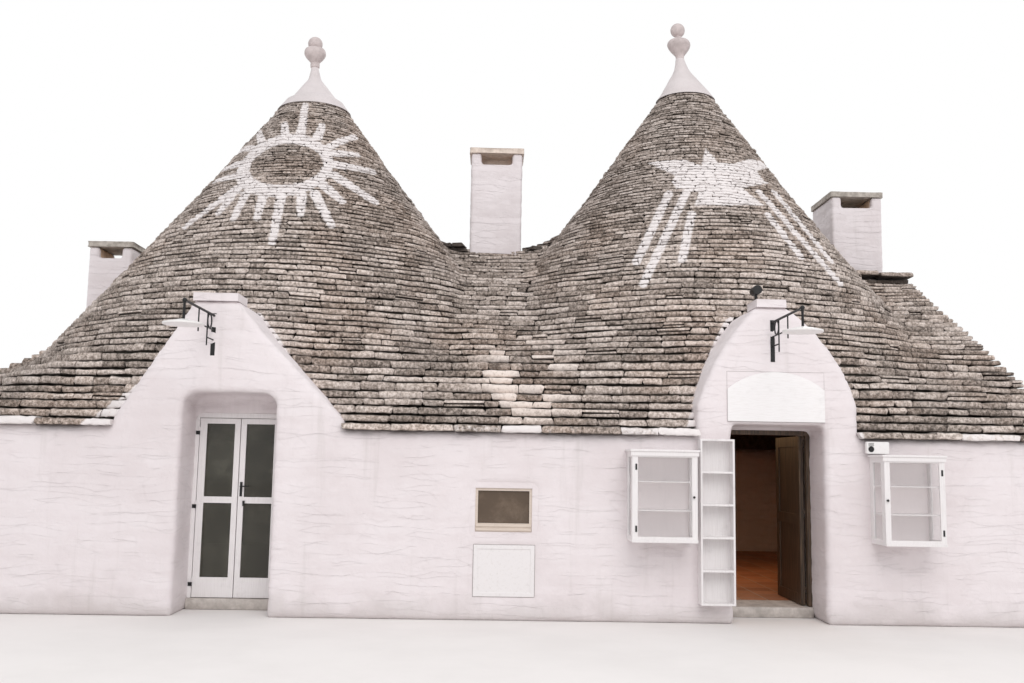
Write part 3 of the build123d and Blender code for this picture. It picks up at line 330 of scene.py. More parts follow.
def ground():
    m = Paint("ground", 0.9)
    m.colour = m.blend(m.ramp(m.cloud(0.8, 6, 0.6), 0.35, 0.7), (0.8, 0.77, 0.755), (0.76, 0.73, 0.715))
    return m.finish((m.cloud(25, 5), 0.08, 0.01))


WASH = limewash("wall_wash")
REAR_WASH = limewash("rear_wash", joints=0.8)
CHIMNEY_WASH = limewash("chimney_wash", joints=0.8, grime=0)
PLASTER = limewash("plaster", (0.68, 0.625, 0.625), (0.56, 0.51, 0.505), joints=0.0, grime=0)
ROOF_STONE = roof_stone()
# Near-black rubble: painted shade for the gaps between the roof stones.
CORE_STONE_PAINTED_SHADE = bare_stone("core_stone", (0.1, 0.085, 0.07), (0.04, 0.034, 0.028))
ROOM_WASH_PAINTED_LAMPLIGHT = room_wash_painted_lamplight()
SHADOW_GAP = metal("shadow_gap", (0.4, 0.365, 0.36), (0.26, 0.235, 0.23), 0.8)
FLUE = bare_stone("flue", (0.86, 0.64, 0.48), (0.62, 0.44, 0.31), 8)
CAP_STONE = bare_stone("cap_stone", (0.82, 0.71, 0.63), (0.62, 0.52, 0.45))
CARVED = bare_stone("carved_stone", (0.64, 0.56, 0.55), (0.49, 0.425, 0.415), 9)
GREY_STONE = bare_stone("grey_stone", (0.56, 0.51, 0.46), (0.32, 0.285, 0.25))
STEP_STONE = bare_stone("step_stone", (0.62, 0.57, 0.53), (0.42, 0.38, 0.35), 9)
DOOR_WHITE = painted_wood("door_white", (0.82, 0.79, 0.79), (0.66, 0.62, 0.61))
CASE_WHITE = painted_wood("case_white", (0.8, 0.77, 0.77), (0.64, 0.6, 0.59), 0.55)
# Near-white back panel of the cases: painted light in their shaded insides.
CASE_BACK_PAINTED_LIGHT = painted_wood("case_back_painted_light", (0.97, 0.9, 0.9), (0.88, 0.82, 0.82), 0.6)
BOARD_WHITE = painted_wood("board_white", (0.85, 0.83, 0.83), (0.74, 0.71, 0.7), 0.5, (3, 30, 30))
BEIGE = painted_wood("beige_paint", (0.67, 0.575, 0.5), (0.5, 0.42, 0.35), 0.5, (2, 30, 30))
DARK_WOOD = dark_wood()
IRON = metal("black_iron", (0.016, 0.016, 0.017), (0.05, 0.045, 0.042), 0.5, 0.4)
ENAMEL = metal("white_enamel", (0.8, 0.78, 0.77), (0.6, 0.56, 0.53), 0.3)
HATCH_PAINT = metal("hatch_paint", (0.79, 0.76, 0.76), (0.6, 0.56, 0.54), 0.5)
# Door and window panes: dark and mostly covering, painted shade of the dim rooms behind them.
DOOR_GLASS_PAINTED_SHADE = glass("door_glass", (0.12, 0.115, 0.09), (0.055, 0.052, 0.04), 0.75)
WINDOW_GLASS_PAINTED_SHADE = glass("window_glass", (0.22, 0.165, 0.12), (0.12, 0.085, 0.06), 0.85)
CASE_GLASS = glass("case_glass", (0.84, 0.79, 0.79), (0.68, 0.65, 0.65), 0.09)
TILES = floor_tiles()


# Meshes

SHARP_STONE = math.radians(40)
SHARP_SLAB = math.radians(50)
SHARP_WALL = math.radians(60)


def put(name, data):
    """A new object in the scene."""
    made = bpy.data.objects.new(name, data)
    bpy.context.scene.collection.objects.link(made)
    return made


def link(name, mesh, material, body="root", replaced=()):
    """Puts a mesh in the scene on a body, for the nodes that it replaces."""
    piece = put(name, mesh)
    mesh.materials.append(material)
    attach(piece, body)
    if replaced:
        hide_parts(*replaced)
    return piece


def shade(mesh, angle):
    """Smooth shading, with edges sharper than the angle kept."""
    mesh.shade_smooth()
    mesh.set_sharp_from_angle(angle=angle)


def mesh_of(name, verts, faces, angle):
    mesh = bpy.data.meshes.new(name)
    mesh.from_pydata(verts, [], faces)
    mesh.update()
    shade(mesh, angle)
    return mesh


def tube_faces(first, rings, around):
    """The faces of a closed tube of rings of points, seen from outside when the rings run clockwise."""
    faces = []
    for ring in range(first, first + (rings - 1) * around, around):
        for i in range(around):
            a = ring + i
            b = ring + (i + 1) % around
            faces.append((a, a + around, b + around, b))
    last = first + rings * around
    return faces + [tuple(range(first, first + around)), tuple(reversed(range(last - around, last)))]


def mesh_from(name, work):
    """A mesh made from a work shape, which is used up."""
    mesh = bpy.data.meshes.new(name)
    work.to_mesh(mesh)
    work.free()
    return mesh


def welded(node):
    """A work shape of a CAD node, its faces joined."""
    work = bmesh.new()
    work.from_mesh(NODES[node].data)
    bmesh.ops.remove_doubles(work, verts=work.verts, dist=WELD)
    work.normal_update()
    return work


def box_matrix(low, high):
    """What turns a cube of size 1 into the box between two corners."""
    return Matrix.LocRotScale((Vector(low) + Vector(high)) / 2, None, Vector(high) - Vector(low))


def add_box(work, low, high):
    bmesh.ops.create_cube(work, size=1, matrix=box_matrix(low, high))


def box_object(low, high):
    work = bmesh.new()
    add_box(work, low, high)
    return put("work", mesh_from("work", work))


def soften(piece, width, segments, angle):
    """Rounds the edges of a piece that are sharper than an angle."""
    soft = piece.modifiers.new("soft_edges", "BEVEL")
    with_settings(soft, width=width, segments=segments, limit_method="ANGLE", angle_limit=angle)


def voxelled(name, nodes, voxel, rounds, cut=None, hole=None):
    """One closed mesh of even quads round several nodes, its corners rounded.

    A hole is taken out of the first node, and a cut keeps only what lies inside its box.
    """
    base, *others = [put("work", mesh_from("work", welded(node))) for node in nodes]
    steps = [("UNION", other) for other in others]
    if hole:
        steps.insert(0, ("DIFFERENCE", box_object(*hole)))
    if cut:
        steps.append(("INTERSECT", box_object(*cut)))
    for operation, tool in steps:
        step = base.modifiers.new("step", "BOOLEAN")
        with_settings(step, operation=operation, solver="EXACT", object=tool)
    with_settings(base.modifiers.new("remesh", "REMESH"), mode="VOXEL", voxel_size=voxel)
    with_settings(base.modifiers.new("soft", "SMOOTH"), factor=0.5, iterations=rounds)
    depsgraph = bpy.context.evaluated_depsgraph_get()
    mesh = bpy.data.meshes.new_from_object(base.evaluated_get(depsgraph))
    mesh.name = name
    for used in (base, *(tool for _, tool in steps)):
        bpy.data.objects.remove(used)
    return mesh


# Relief of the whitewashed walls

COURSE_H = 0.19
BLOCK_W = 0.42
CREASE = 0.05
FITTINGS = ("hatch", "window_frame", "sign_board", "left_case", "right_case", "shelf_rack", "security_light")
FITTING_BOXES = [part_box(node) for node in FITTINGS]
FLAT_MARGIN = 0.08


def block_relief(spot, seed):
    """How far one stone of an unevenly coursed wall stands out under its whitewash."""
    wobble = 0.08 * noise.noise(spot * 0.8) + 0.03 * noise.noise(spot * 2.9)
    level = (spot.z + wobble) / COURSE_H
    row = math.floor(level)
    width = BLOCK_W * (1 + 0.35 * noise.cell(Vector((row + 0.5, seed, 3.5))))
    along = (spot.x + spot.y + 0.37 * row + 0.12 * noise.noise(spot * 1.9)) / width
    column = math.floor(along)
    upper = min(level - row, row + 1 - level) * COURSE_H
    side = min(along - column, column + 1 - along) * width
    crease = min(1, upper / CREASE) ** 0.7 * (0.75 + 0.25 * min(1, side / CREASE))
    proud = 0.5 + 0.5 * noise.cell(Vector((column + 0.5, row + 0.5, seed)))
    return crease * (0.45 + 0.55 * proud)


def off_fittings(spot):
    """None of the relief beside what is fixed to the street wall, all of it further off."""
    if spot.y > STREET_Y + 0.3:
        return 1
    away = min(max(a.x - spot.x, spot.x - b.x, a.z - spot.z, spot.z - b.z) for a, b in FITTING_BOXES)
    return clamp(away / FLAT_MARGIN)


def dress(mesh, relief, swell, seed, low, high):
    """Moves the surface outward by its stone relief and by slow waves, and keeps it in a box."""
    normals = [vertex.normal.copy() for vertex in mesh.vertices]
    for vertex, normal in zip(mesh.vertices, normals):
        spot = vertex.co
        wave = 0.5 + 0.5 * noise.noise(spot * 1.7 + Vector((seed, 0, 0)))
        fine = 0.5 + 0.5 * noise.noise(spot * 7 + Vector((0, seed, 0)))
        out = relief * block_relief(spot, seed) + swell * (0.7 * wave + 0.3 * fine)
        moved = spot + normal * out * off_fittings(spot)
        vertex.co = [clamp(moved[i], low[i], high[i]) for i in range(3)]
    mesh.update()
    shade(mesh, SHARP_WALL)


# Painted signs, in metres across from each cone's axis and above the ground

SUN_INNER = ((-0.1, 5.44), (0.49, 0.365))
SUN_OUTER = ((-0.13, 5.43), (0.65, 0.56))
RAY_FOOT = 0.066
RAY_TIP = 0.046
SUN_RAYS = (
    (-0.2, 5.94, -0.26, 6.19), (0.01, 5.96, -0.03, 6.55), (0.24, 5.95, 0.26, 6.18),
    (0.39, 5.77, 0.68, 6.09), (0.43, 5.67, 0.77, 5.75), (0.45, 5.49, 1.00, 5.5),
    (0.53, 5.31, 1.11, 4.95), (0.45, 5.11, 0.72, 4.87), (0.37, 4.95, 0.65, 4.47),
    (0.21, 4.92, 0.26, 4.6), (-0.04, 4.9, 0.00, 4.16), (-0.28, 4.92, -0.27, 4.53),
    (-0.52, 4.95, -0.58, 4.53), (-0.68, 5.00, -0.82, 4.64), (-0.62, 5.1, -1.27, 4.49),
    (-0.61, 5.28, -1.12, 5.29), (-0.68, 5.53, -1.08, 5.52), (-0.49, 5.75, -0.92, 5.86),
    (-0.5, 5.8, -0.67, 6.14),
)
STAR = (
    (0.05, 5.88), (0.17, 5.63), (0.38, 5.61), (0.71, 5.78), (0.95, 5.82), (1.03, 5.75), (0.76, 5.56),
    (0.79, 5.45), (0.9, 5.38), (0.45, 5.2), (0.69, 4.93), (-0.26, 4.86), (-0.16, 5.1), (-0.44, 5.17),
    (-0.48, 5.29), (-0.42, 5.38), (-0.74, 5.67), (-0.26, 5.66), (-0.06, 5.55),
)
TAIL_W = 0.05
TAILS = (
    (-0.54, 5.09, -1.06, 4.03), (-0.32, 5.1, -1.02, 3.71), (-0.31, 4.74, -0.53, 4.04),
    (0.71, 4.78, 1.00, 4.17), (0.69, 5.17, 1.48, 3.83), (0.95, 5.24, 1.49, 4.19),
)
SIGN_FOOT_Z = 3.5
SIGN_REACH = 1.75


def in_stroke(x, z, x0, z0, x1, z1, start_w, end_w):
    """How far inside a tapered brush stroke a point lies, negative outside."""
    dx = x1 - x0
    dz = z1 - z0
    share = clamp(((x - x0) * dx + (z - z0) * dz) / (dx * dx + dz * dz))
    away = math.hypot(x - x0 - share * dx, z - z0 - share * dz)
    return start_w + (end_w - start_w) * share - away


def in_ellipse(x, z, centre, radii):
    away = math.hypot((x - centre[0]) / radii[0], (z - centre[1]) / radii[1])
    return (1 - away) * min(radii)


def in_outline(x, z, outline):
    """How far inside a closed outline of straight edges a point lies, negative outside."""
    nearest = 9.0
    inside = False
    for (x0, z0), (x1, z1) in zip(outline, outline[1:] + outline[:1]):
        nearest = min(nearest, -in_stroke(x, z, x0, z0, x1, z1, 0, 0))
        if (z0 > z) != (z1 > z) and x < x0 + (z - z0) * (x1 - x0) / (z1 - z0):
            inside = not inside
    return nearest if inside else -nearest


def in_sun(x, z):
    hole = in_ellipse(x, z, *SUN_INNER)
    rays = max(in_stroke(x, z, *ray, RAY_FOOT, RAY_TIP) for ray in SUN_RAYS)
    return min(max(in_ellipse(x, z, *SUN_OUTER), rays), -hole)


def in_star(x, z):
    tails = max(in_stroke(x, z, *tail, TAIL_W, TAIL_W) for tail in TAILS)
    return max(in_outline(x, z, STAR), tails)


GABLES = [(middle(name + "_cap").x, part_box(name)) for name in ("left_gable", "right_gable")]
GABLE_TOP_HALF = 0.2
SPLASH_W = 0.1


def beside_gable(x, y, z):
    """Whitewash that was splashed on the stones close to a gable's sides."""
    best = -1
    for cap_x, (low, high) in GABLES:
        share = clamp((high.z - z) / (high.z - low.z))
        half = GABLE_TOP_HALF + share * ((high.x - low.x) / 2 - GABLE_TOP_HALF)
        away = math.hypot(max(abs(x - cap_x) - half, 0), max(z - high.z, 0))
        best = max(best, SPLASH_W - away - 0.3 * max(y - STREET_Y - 0.8, 0))
    return best


def paint_at(x, y, z):
    """Distance inside the nearest painted shape, negative outside it."""
    best = -1
    across = x - (LEFT_AXIS if x < 0 else RIGHT_AXIS)
    if y < AXIS_Y and z > SIGN_FOOT_Z and abs(across) < SIGN_REACH:
        best = in_sun(across, z) if x < 0 else in_star(across, z)
    return max(best, beside_gable(x, y, z))


FRESH_PATCH = ((0.3, 2.5), (0.75, 0.65))


def freshness(x, y, z):
    """Newer, paler stones where the roof was mended above the window."""
    return 0 if y > AXIS_Y else clamp(3 * in_ellipse(x, z, *FRESH_PATCH))


# Stone courses. The lowest stones are thick and long, high ones thin and short.

COURSE_LOW = 0.093
COURSE_HIGH = 0.047
THIN_FROM_Z = 2.3
THIN_FULL_Z = 5.3
COURSE_JITTER = 0.24
STONE_LOW = (0.2, 0.52)
STONE_HIGH = (0.11, 0.27)
STONE_DEPTH = 0.26
STONE_GAP = 0.005
STONE_FILL = (0.76, 0.91)
PAINTED_FILL = (0.92, 0.99)
SET_BACK = 0.38
OUT_JITTER = 0.006
SKEW = 0.006
ROUGH = 0.005
SLANT = 0.014
SWAY = 0.0035
END_RING = 0.022
END_SET_BACK = 0.009
SPLIT_SHARE = 0.05
THIN_COURSE = 0.066
WAVE_SLOW = 0.04
WAVE_QUICK = 0.016
CALM_H = 0.6
TAPER = 0.77
EAVE_STONE = (0.34, 0.72)
EAVE_PROUD = 0.028
RIDGE_SLAB = (0.34, 0.6)
RIDGE_SLAB_H = (0.055, 0.085)
RIDGE_SLAB_W = 0.42
RIDGE_LEVEL = 0.8
RIDGE_TOP_Z = 6.5
RIDGE_GAP = 0.006
INSIDE = -1
PROFILE_FULL = (
    (INSIDE, 0.02), (-0.01, 0.02), (0.0, 0.17), (0.003, 0.52), (-0.001, 0.86), (-0.012, 1), (INSIDE, 1),
)
PROFILE_LIGHT = ((INSIDE, 0.02), (-0.01, 0.02), (0.0, 0.25), (0.0, 0.8), (-0.013, 1), (INSIDE, 1))
RING_SPACING = 0.06
PAINTED_SPACING = 0.03
PAINT_NEAR = -0.16
UNPAINTED = -1.0


def course_wave(x, y, z):
    """The slow rise and fall of the courses, none at the eaves."""
    spot = Vector((x, y, z))
    slow = noise.noise(spot * 0.5)
    quick = noise.noise(spot * 1.7 + Vector((7, 3, 1)))
    return clamp((z - ROOF_FOOT) / CALM_H) * (WAVE_SLOW * slow + WAVE_QUICK * quick)


class Stones:
    """A heap of separate stones that becomes a few joined meshes."""

    def __init__(self, seed):
        self.rng = random.Random(seed)
        self.groups = {}

    def stone(self, group, chain, arc, start, end, z, height, depth, out=0.0, plain=False, wash=UNPAINTED):
        """One stone along a stretch of a chain of points, its free side on the right.

        Its profile, from the back over the foot, face and top to the back again, gives how far each
        corner stands out and its share of the height.
        """
        rng = self.rng
        centre = (start + end) / 2
        mid_x = float(np.interp(centre, arc, chain[:, 0]))
        mid_y = float(np.interp(centre, arc, chain[:, 1]))
        painted = paint_at(mid_x, mid_y, z)
        near_paint = painted > PAINT_NEAR
        light = mid_y > AXIS_Y or (height < THIN_COURSE and not near_paint)
        profile = PROFILE_LIGHT if light else PROFILE_FULL
        spacing = PAINTED_SPACING if near_paint else RING_SPACING
        inner = max(int((end - start) / spacing), 2) if not light else 2
        edge = min(END_RING, (end - start) * 0.2)
        stops = [start] + list(np.linspace(start + edge, end - edge, inner)) + [end]
        x = np.interp(stops, arc, chain[:, 0])
        y = np.interp(stops, arc, chain[:, 1])
        last = len(stops) - 1
        along = np.array([np.gradient(x), np.gradient(y)])
        tx, ty = along / (np.hypot(*along) + 1e-9)
        out += rng.gauss(0, OUT_JITTER)
        skew = rng.uniform(-SKEW, SKEW)
        tilt = rng.uniform(-0.05, 0.05) * height
        slants = {0: rng.uniform(-SLANT, SLANT), last: rng.uniform(-SLANT, SLANT)}
        tall = height * rng.uniform(*(PAINTED_FILL if painted > 0 else STONE_FILL))
        belly = rng.uniform(-0.004, 0.006)
        lip = rng.uniform(-0.012, 0.004)
        tone = rng.random()
        verts, faces, values = self.groups.setdefault(group, ([], [], []))
        first = len(verts)
        for ring in range(last + 1):
            lean = 2 * ring / last - 1
            end_ring = ring in (0, last)
            sway = rng.gauss(0, SWAY)
            rise = z if plain else z + course_wave(x[ring], y[ring], z)
            back = 0 if plain else (rise - z) * TAPER
            squeeze = rng.uniform(0.7, 0.95) if end_ring else rng.uniform(0.93, 1.0)
            slant = slants.get(ring, 0)
            for reach, share in profile:
                spread = 0.45 + (share - 0.45) * squeeze
                if reach == INSIDE:
                    off = -depth
                else:
                    off = reach + out - back + skew * lean + sway
                    off += belly * (1 - abs(2 * share - 1)) + lip * share
                    if end_ring:
                        off -= END_SET_BACK
                off += rng.uniform(-ROUGH, ROUGH)
                slide = slant * (2 * share - 1)
                px = clamp(x[ring] + ty[ring] * off + tx[ring] * slide, -HALF_W, HALF_W)
                py = clamp(y[ring] - tx[ring] * off + ty[ring] * slide, -BACK_LIMIT, BACK_LIMIT)
                pz = rise + tall * spread + tilt * lean + rng.uniform(-ROUGH, ROUGH)
                verts.append((px, py, pz))
                paint = max(paint_at(px, py, pz), wash)
                # Painted shade: full at each stone's foot and back, half along its top edge.
                joint = 1.0 if share < 0.1 or reach == INSIDE else 0.5 if share == 1 else 0.0
                values.append((tone, paint, freshness(px, py, pz), joint))
        faces += tube_faces(first, len(stops), len(profile))

    def course(self, chain, z, height, sizes, depth, group_of, out=0.0, plain=False, wash_of=None):
        """A row of stones along a chain of points, here and there of two thin ones."""
        rng = self.rng
        steps = np.hypot(*np.diff(chain, axis=0).T)
        arc = np.concatenate([[0], np.cumsum(steps)])
        total = arc[-1]
        spot = 0.0
        while spot < total - 0.03:
            length = rng.uniform(*sizes)
            if rng.random() < 0.25:
                length *= 0.7
            if total - spot - length < sizes[0] * 0.6:
                length = total - spot
            x = np.interp(spot + length / 2, arc, chain[:, 0])
            y = np.interp(spot + length / 2, arc, chain[:, 1])
            gap = STONE_GAP * rng.uniform(0.3, 1.7)
            where = (group_of(x, y), chain, arc, spot + gap / 2, spot + length - gap / 2)
            if not plain and height > 0.06 and rng.random() < SPLIT_SHARE:
                lower = height * rng.uniform(0.42, 0.58)
                self.stone(*where, z, lower, depth, out)
                self.stone(*where, z + lower, height - lower, depth, out)
            else:
                self.stone(*where, z, height, depth, out, plain, wash_of(x) if wash_of else UNPAINTED)
            spot += length

    def pieces(self):
        """The joined meshes, one for each group, with their attributes."""
        made = []
        for name, (verts, faces, values) in self.groups.items():
            mesh = mesh_of(name, verts, faces, SHARP_STONE)
            for key, numbers in zip(("tone", "paint", "fresh", "joint"), zip(*values)):
                layer = mesh.attributes.new(key, "FLOAT", "POINT")
                layer.data.foreach_set("value", np.array(numbers, np.float32))
            made.append(link(name, mesh, ROOF_STONE))
        return made


# The roof's outline at any height, found with level rays towards each cone's axis

SWEEP_STEPS = 360
SLICE = 0.002
JOIN_REACH = 0.09
SWEEP_REACH = 6.5
SLOPES = (0.12, 0.97)


def search_tree(node):
    """What a ray meets on a CAD node."""
    return BVHTree.FromBMesh(welded(node))


HALVES = (
    (search_tree("left_cone_roof"), LEFT_AXIS, (SLICE - HALF_W, -SLICE)),
    (search_tree("right_cone_roof"), RIGHT_AXIS, (SLICE, HALF_W - SLICE)),
)


def outer_spot(half, angle, z):
    """Where a level line from a cone's axis comes out of a sloping face, or None."""
    tree, axis_x, edges = half
    dx = math.cos(angle)
    dy = math.sin(angle)
    reach = SWEEP_REACH
    if abs(dx) > 1e-6:
        reach = min(reach, (edges[dx > 0] - axis_x) / dx)
    start = Vector((axis_x + reach * dx, AXIS_Y + reach * dy, z))
    spot, normal, _, _ = tree.ray_cast(start, Vector((-dx, -dy, 0)), reach - 0.1)
    if spot is None or not SLOPES[0] < normal.z < SLOPES[1] or normal.x * dx + normal.y * dy < 0.02:
        return None
    return (spot.x, spot.y)


def last_spot(half, good, bad, z):
    """The outline point closest to where the outline stops between two angles."""
    best = outer_spot(half, good, z)
    for _ in range(7):
        angle = (good + bad) / 2
        spot = outer_spot(half, angle, z)
        if spot is None:
            bad = angle
        else:
            good = angle
            best = spot
    return best


def half_outlines(half, z):
    """The runs of points where one half's roof has an outline at a height."""
    step = 2 * math.pi / SWEEP_STEPS
    spots = [outer_spot(half, index * step, z) for index in range(SWEEP_STEPS)]
    if None not in spots:
        return [spots + spots[:1]]
    found = []
    run = []
    turn = spots.index(None)
    for index in range(turn, turn + SWEEP_STEPS + 1):
        spot = spots[index % SWEEP_STEPS]
        if spot is not None:
            if not run:
                run.append(last_spot(half, index * step, (index - 1) * step, z))
            run.append(spot)
        elif run:
            run.append(last_spot(half, (index - 1) * step, index * step, z))
            found.append(run)
            run = []
    return found


def outlines(z):
    """The outline at a height, as chains of points with the free side on the right."""
    found = [run for half in HALVES for run in half_outlines(half, z)]
    joined = True
    while joined:
        joined = False
        for one, other in itertools.permutations(found, 2):
            if math.dist(one[-1], other[0]) < JOIN_REACH:
                one.extend(other)
                found.remove(other)
                joined = True
                break
    return [np.array(run) for run in found]


def group_name(x, y):
    return f"roof_stones_{'left' if x < 0 else 'right'}_{'street' if y < AXIS_Y else 'rear'}"


def roof_stones():
    """Every course of slabs from the eaves to the pinnacles."""
    stones = Stones(11)
    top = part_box("right_plaster_cone")[0].z
    z = ROOF_FOOT
    while z < top - 0.02:
        thin = clamp((z - THIN_FROM_Z) / (THIN_FULL_Z - THIN_FROM_Z))
        height = COURSE_LOW + (COURSE_HIGH - COURSE_LOW) * thin
        height *= 1 + stones.rng.uniform(-COURSE_JITTER, COURSE_JITTER)
        height = min(height, top - z)
        sizes = [low + (high - low) * thin for low, high in zip(STONE_LOW, STONE_HIGH)]
        for chain in outlines(z + height / 2):
            if np.hypot(*np.diff(chain, axis=0).T).sum() > 0.06:
                stones.course(chain, z, height, sizes, STONE_DEPTH, group_name, -SET_BACK * height)
        z += height
    stones.pieces()


def eave_wash(x):
    """Where whitewash ran onto the stones of the eaves."""
    if x < -4.9 or 1.72 < x < 2.1:
        return 0.02
    return 0.08 * noise.noise(Vector((x * 1.4, 5.3, 0))) - 0.02


def eave_stones():
    """The lowest course: longer slabs that hang over the walls."""
    stones = Stones(23)
    for node in ("front_eave_left", "front_eave_middle", "front_eave_right", "back_eave"):
        low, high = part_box(node)
        street = node != "back_eave"
        y = low.y if street else high.y
        ends = (low.x, high.x) if street else (high.x, low.x)
        chain = np.array([(x, y) for x in np.linspace(*ends, 12)])
        depth = high.y - low.y - 0.04
        tall = high.z - low.z
        stones.course(
            chain, low.z, tall, EAVE_STONE, depth, lambda x, y: node + "_stones", -EAVE_PROUD, True, eave_wash
        )
    for piece in stones.pieces():
        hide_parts(piece.name.removesuffix("_stones"))


def ridge_height(x):
    """The height of a saddle's ridge, or None where a cone rises instead."""
    tree = HALVES[x > 0][0]
    spot, normal, _, _ = tree.ray_cast(Vector((x, AXIS_Y, ABOVE_ALL)), Vector((0, 0, -1)), ABOVE_ALL)
    if spot is None or normal.z < RIDGE_LEVEL or not WALL_TOP + 1 <= spot.z <= RIDGE_TOP_Z:
        return None
    return spot.z


def ridge_slabs():
    """Broad flat slabs laid in steps along the saddles."""
    stones = Stones(41)
    rng = stones.rng
    flues = [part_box(name) for name in CHIMNEYS]
    x = SLICE - HALF_W
    while x < HALF_W - 0.1:
        length = rng.uniform(*RIDGE_SLAB)
        ends = [ridge_height(min(spot, HALF_W - SLICE)) for spot in (x, x + length / 2, x + length)]
        beside = all(x + length < low.x or x > high.x or low.y > AXIS_Y + 0.3 for low, high in flues)
        if None not in ends and beside:
            tall = rng.uniform(*RIDGE_SLAB_H)
            front = AXIS_Y - RIDGE_SLAB_W / 2 + rng.uniform(-0.05, 0.05)
            chain = np.array([(x, front), (min(x + length, HALF_W - SLICE), front)])
            arc = np.array([0, chain[1][0] - chain[0][0]])
            foot = sum(ends) / 3 - 0.25 * tall
            span = (RIDGE_GAP, arc[1] - RIDGE_GAP)
            stones.stone("ridge_slabs", chain, arc, *span, foot, tall, RIDGE_SLAB_W, plain=True)
            x += length
        else:
            x += 0.06
    stones.pieces()


# Roof cores, walls and chimneys

CORE_DROP = 0.16
WALL_VOXEL = 0.034
REAR_VOXEL = 0.075
CHIMNEY_VOXEL = 0.024
CHIMNEY_WALL = 0.06
CHIMNEY_SWELL = 0.02
CHIMNEYS = ("left_chimney", "middle_chimney", "right_chimney")
REVEAL = 0.06
SLAB_CELL = 0.045


def roof_core(node):
    """The rubble under the slabs, near black as painted shade in the gaps between them: the CAD mass with its
    outer face let down.
    """
    work = welded(node)
    for vertex in {v for face in work.faces if face.normal.z > SLOPES[0] for v in face.verts}:
        vertex.co.z -= CORE_DROP
    work.normal_update()
    for face in work.faces:
        if abs(face.normal.x) > 0.99 and abs(face.calc_center_median().x) > HALF_W - 0.01:
            face.material_index = 1
    mesh = mesh_from(node, work)
    link(node.replace("_roof", "_core"), mesh, CORE_STONE_PAINTED_SHADE, replaced=[node])
    mesh.materials.append(REAR_WASH)


def street_walls():
    nodes = ["front_wall_middle", "front_wall_left", "front_wall_right", "left_gable", "right_gable"]
    everything = nodes + ["party_wall_left", "party_wall_right"]
    cut = ((-HALF_W - 1, STREET_Y - 1, -1), (HALF_W + 1, ROOM_Y, ABOVE_ALL))
    low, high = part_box("window_frame")
    side = REVEAL / 2
    hole = ((low.x - side, STREET_Y - 0.1, low.z - side), (high.x + side, high.y + 0.005, high.z + side))
    mesh = voxelled("street_wall", everything, WALL_VOXEL, 2, cut, hole)
    dress(mesh, 0.008, 0.012, 3, (-HALF_W, STREET_Y - 0.02, 0), (HALF_W, ROOM_Y + 0.02, ABOVE_ALL))
    link("street_wall", mesh, WASH, replaced=nodes)


def rear_walls():
    nodes = ["party_wall_left", "party_wall_right", "back_wall_left", "back_wall_right"]
    cut = ((-HALF_W - 1, ROOM_Y, -1), (HALF_W + 1, REAR_Y + 1, ABOVE_ALL))
    mesh = voxelled("rear_walls", nodes, REAR_VOXEL, 1, cut)
    dress(mesh, 0.01, 0.018, 8, (-HALF_W, ROOM_Y, 0), (HALF_W, REAR_Y + 0.03, WALL_TOP))
    link("rear_walls", mesh, REAR_WASH, replaced=nodes)


def chimneys():
    for index, name in enumerate(CHIMNEYS):
        low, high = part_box(name)
        mesh = voxelled(name, [name], CHIMNEY_VOXEL, 2)
        least = (max(low.x - CHIMNEY_SWELL, -HALF_W), low.y - CHIMNEY_SWELL, low.z)
        most = (min(high.x + CHIMNEY_SWELL, HALF_W), high.y + CHIMNEY_SWELL, high.z)
        dress(mesh, 0.006, 0.012, 20 + index, least, most)
        for face in mesh.polygons:
            if all(low[i] + CHIMNEY_WALL < face.center[i] < high[i] - CHIMNEY_WALL for i in (0, 1)):
                face.material_index = 1
        link(name + "_washed", mesh, CHIMNEY_WASH, replaced=[name])
        mesh.materials.append(FLUE)
        stone = CAP_STONE if name == "middle_chimney" else GREY_STONE
        slab(name + "_slab", name + "_cap", 31 + index, stone, 0.026)


def slab(name, node, seed, material, rough):
    """A flat stone with worn edges in the place of a node."""
    low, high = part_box(node)
    work = bmesh.new()
    bmesh.ops.create_cube(work, size=1)
    bmesh.ops.bevel(work, geom=work.edges[:], offset=0.06, segments=2, affect="EDGES", profile=0.6)
    bmesh.ops.transform(work, matrix=box_matrix(low, high), verts=work.verts)
    for axis, length in enumerate(high - low):
        cuts = max(int(length / SLAB_CELL), 1)
        normal = Vector([float(i == axis) for i in range(3)])
        for cut in range(1, cuts):
            spot = low + normal * (length * cut / cuts)
            whole = work.verts[:] + work.edges[:] + work.faces[:]
            bmesh.ops.bisect_plane(work, geom=whole, dist=WELD, plane_co=spot, plane_no=normal)
    work.normal_update()
    shift = Vector((seed, seed, 0))
    normals = [v.normal.copy() for v in work.verts]
    for vertex, normal in zip(work.verts, normals):
        back = rough * (0.5 + 0.5 * noise.noise(vertex.co * 5 + shift))
        back += 0.4 * rough * (0.5 + 0.5 * noise.noise(vertex.co * 21 + shift))
        vertex.co -= normal * back * (1 if abs(normal.z) < 0.7 else 0.35)
    mesh = mesh_from(name, work)
    shade(mesh, SHARP_SLAB)
    link(name, mesh, material, replaced=[node])


# Turned pinnacles

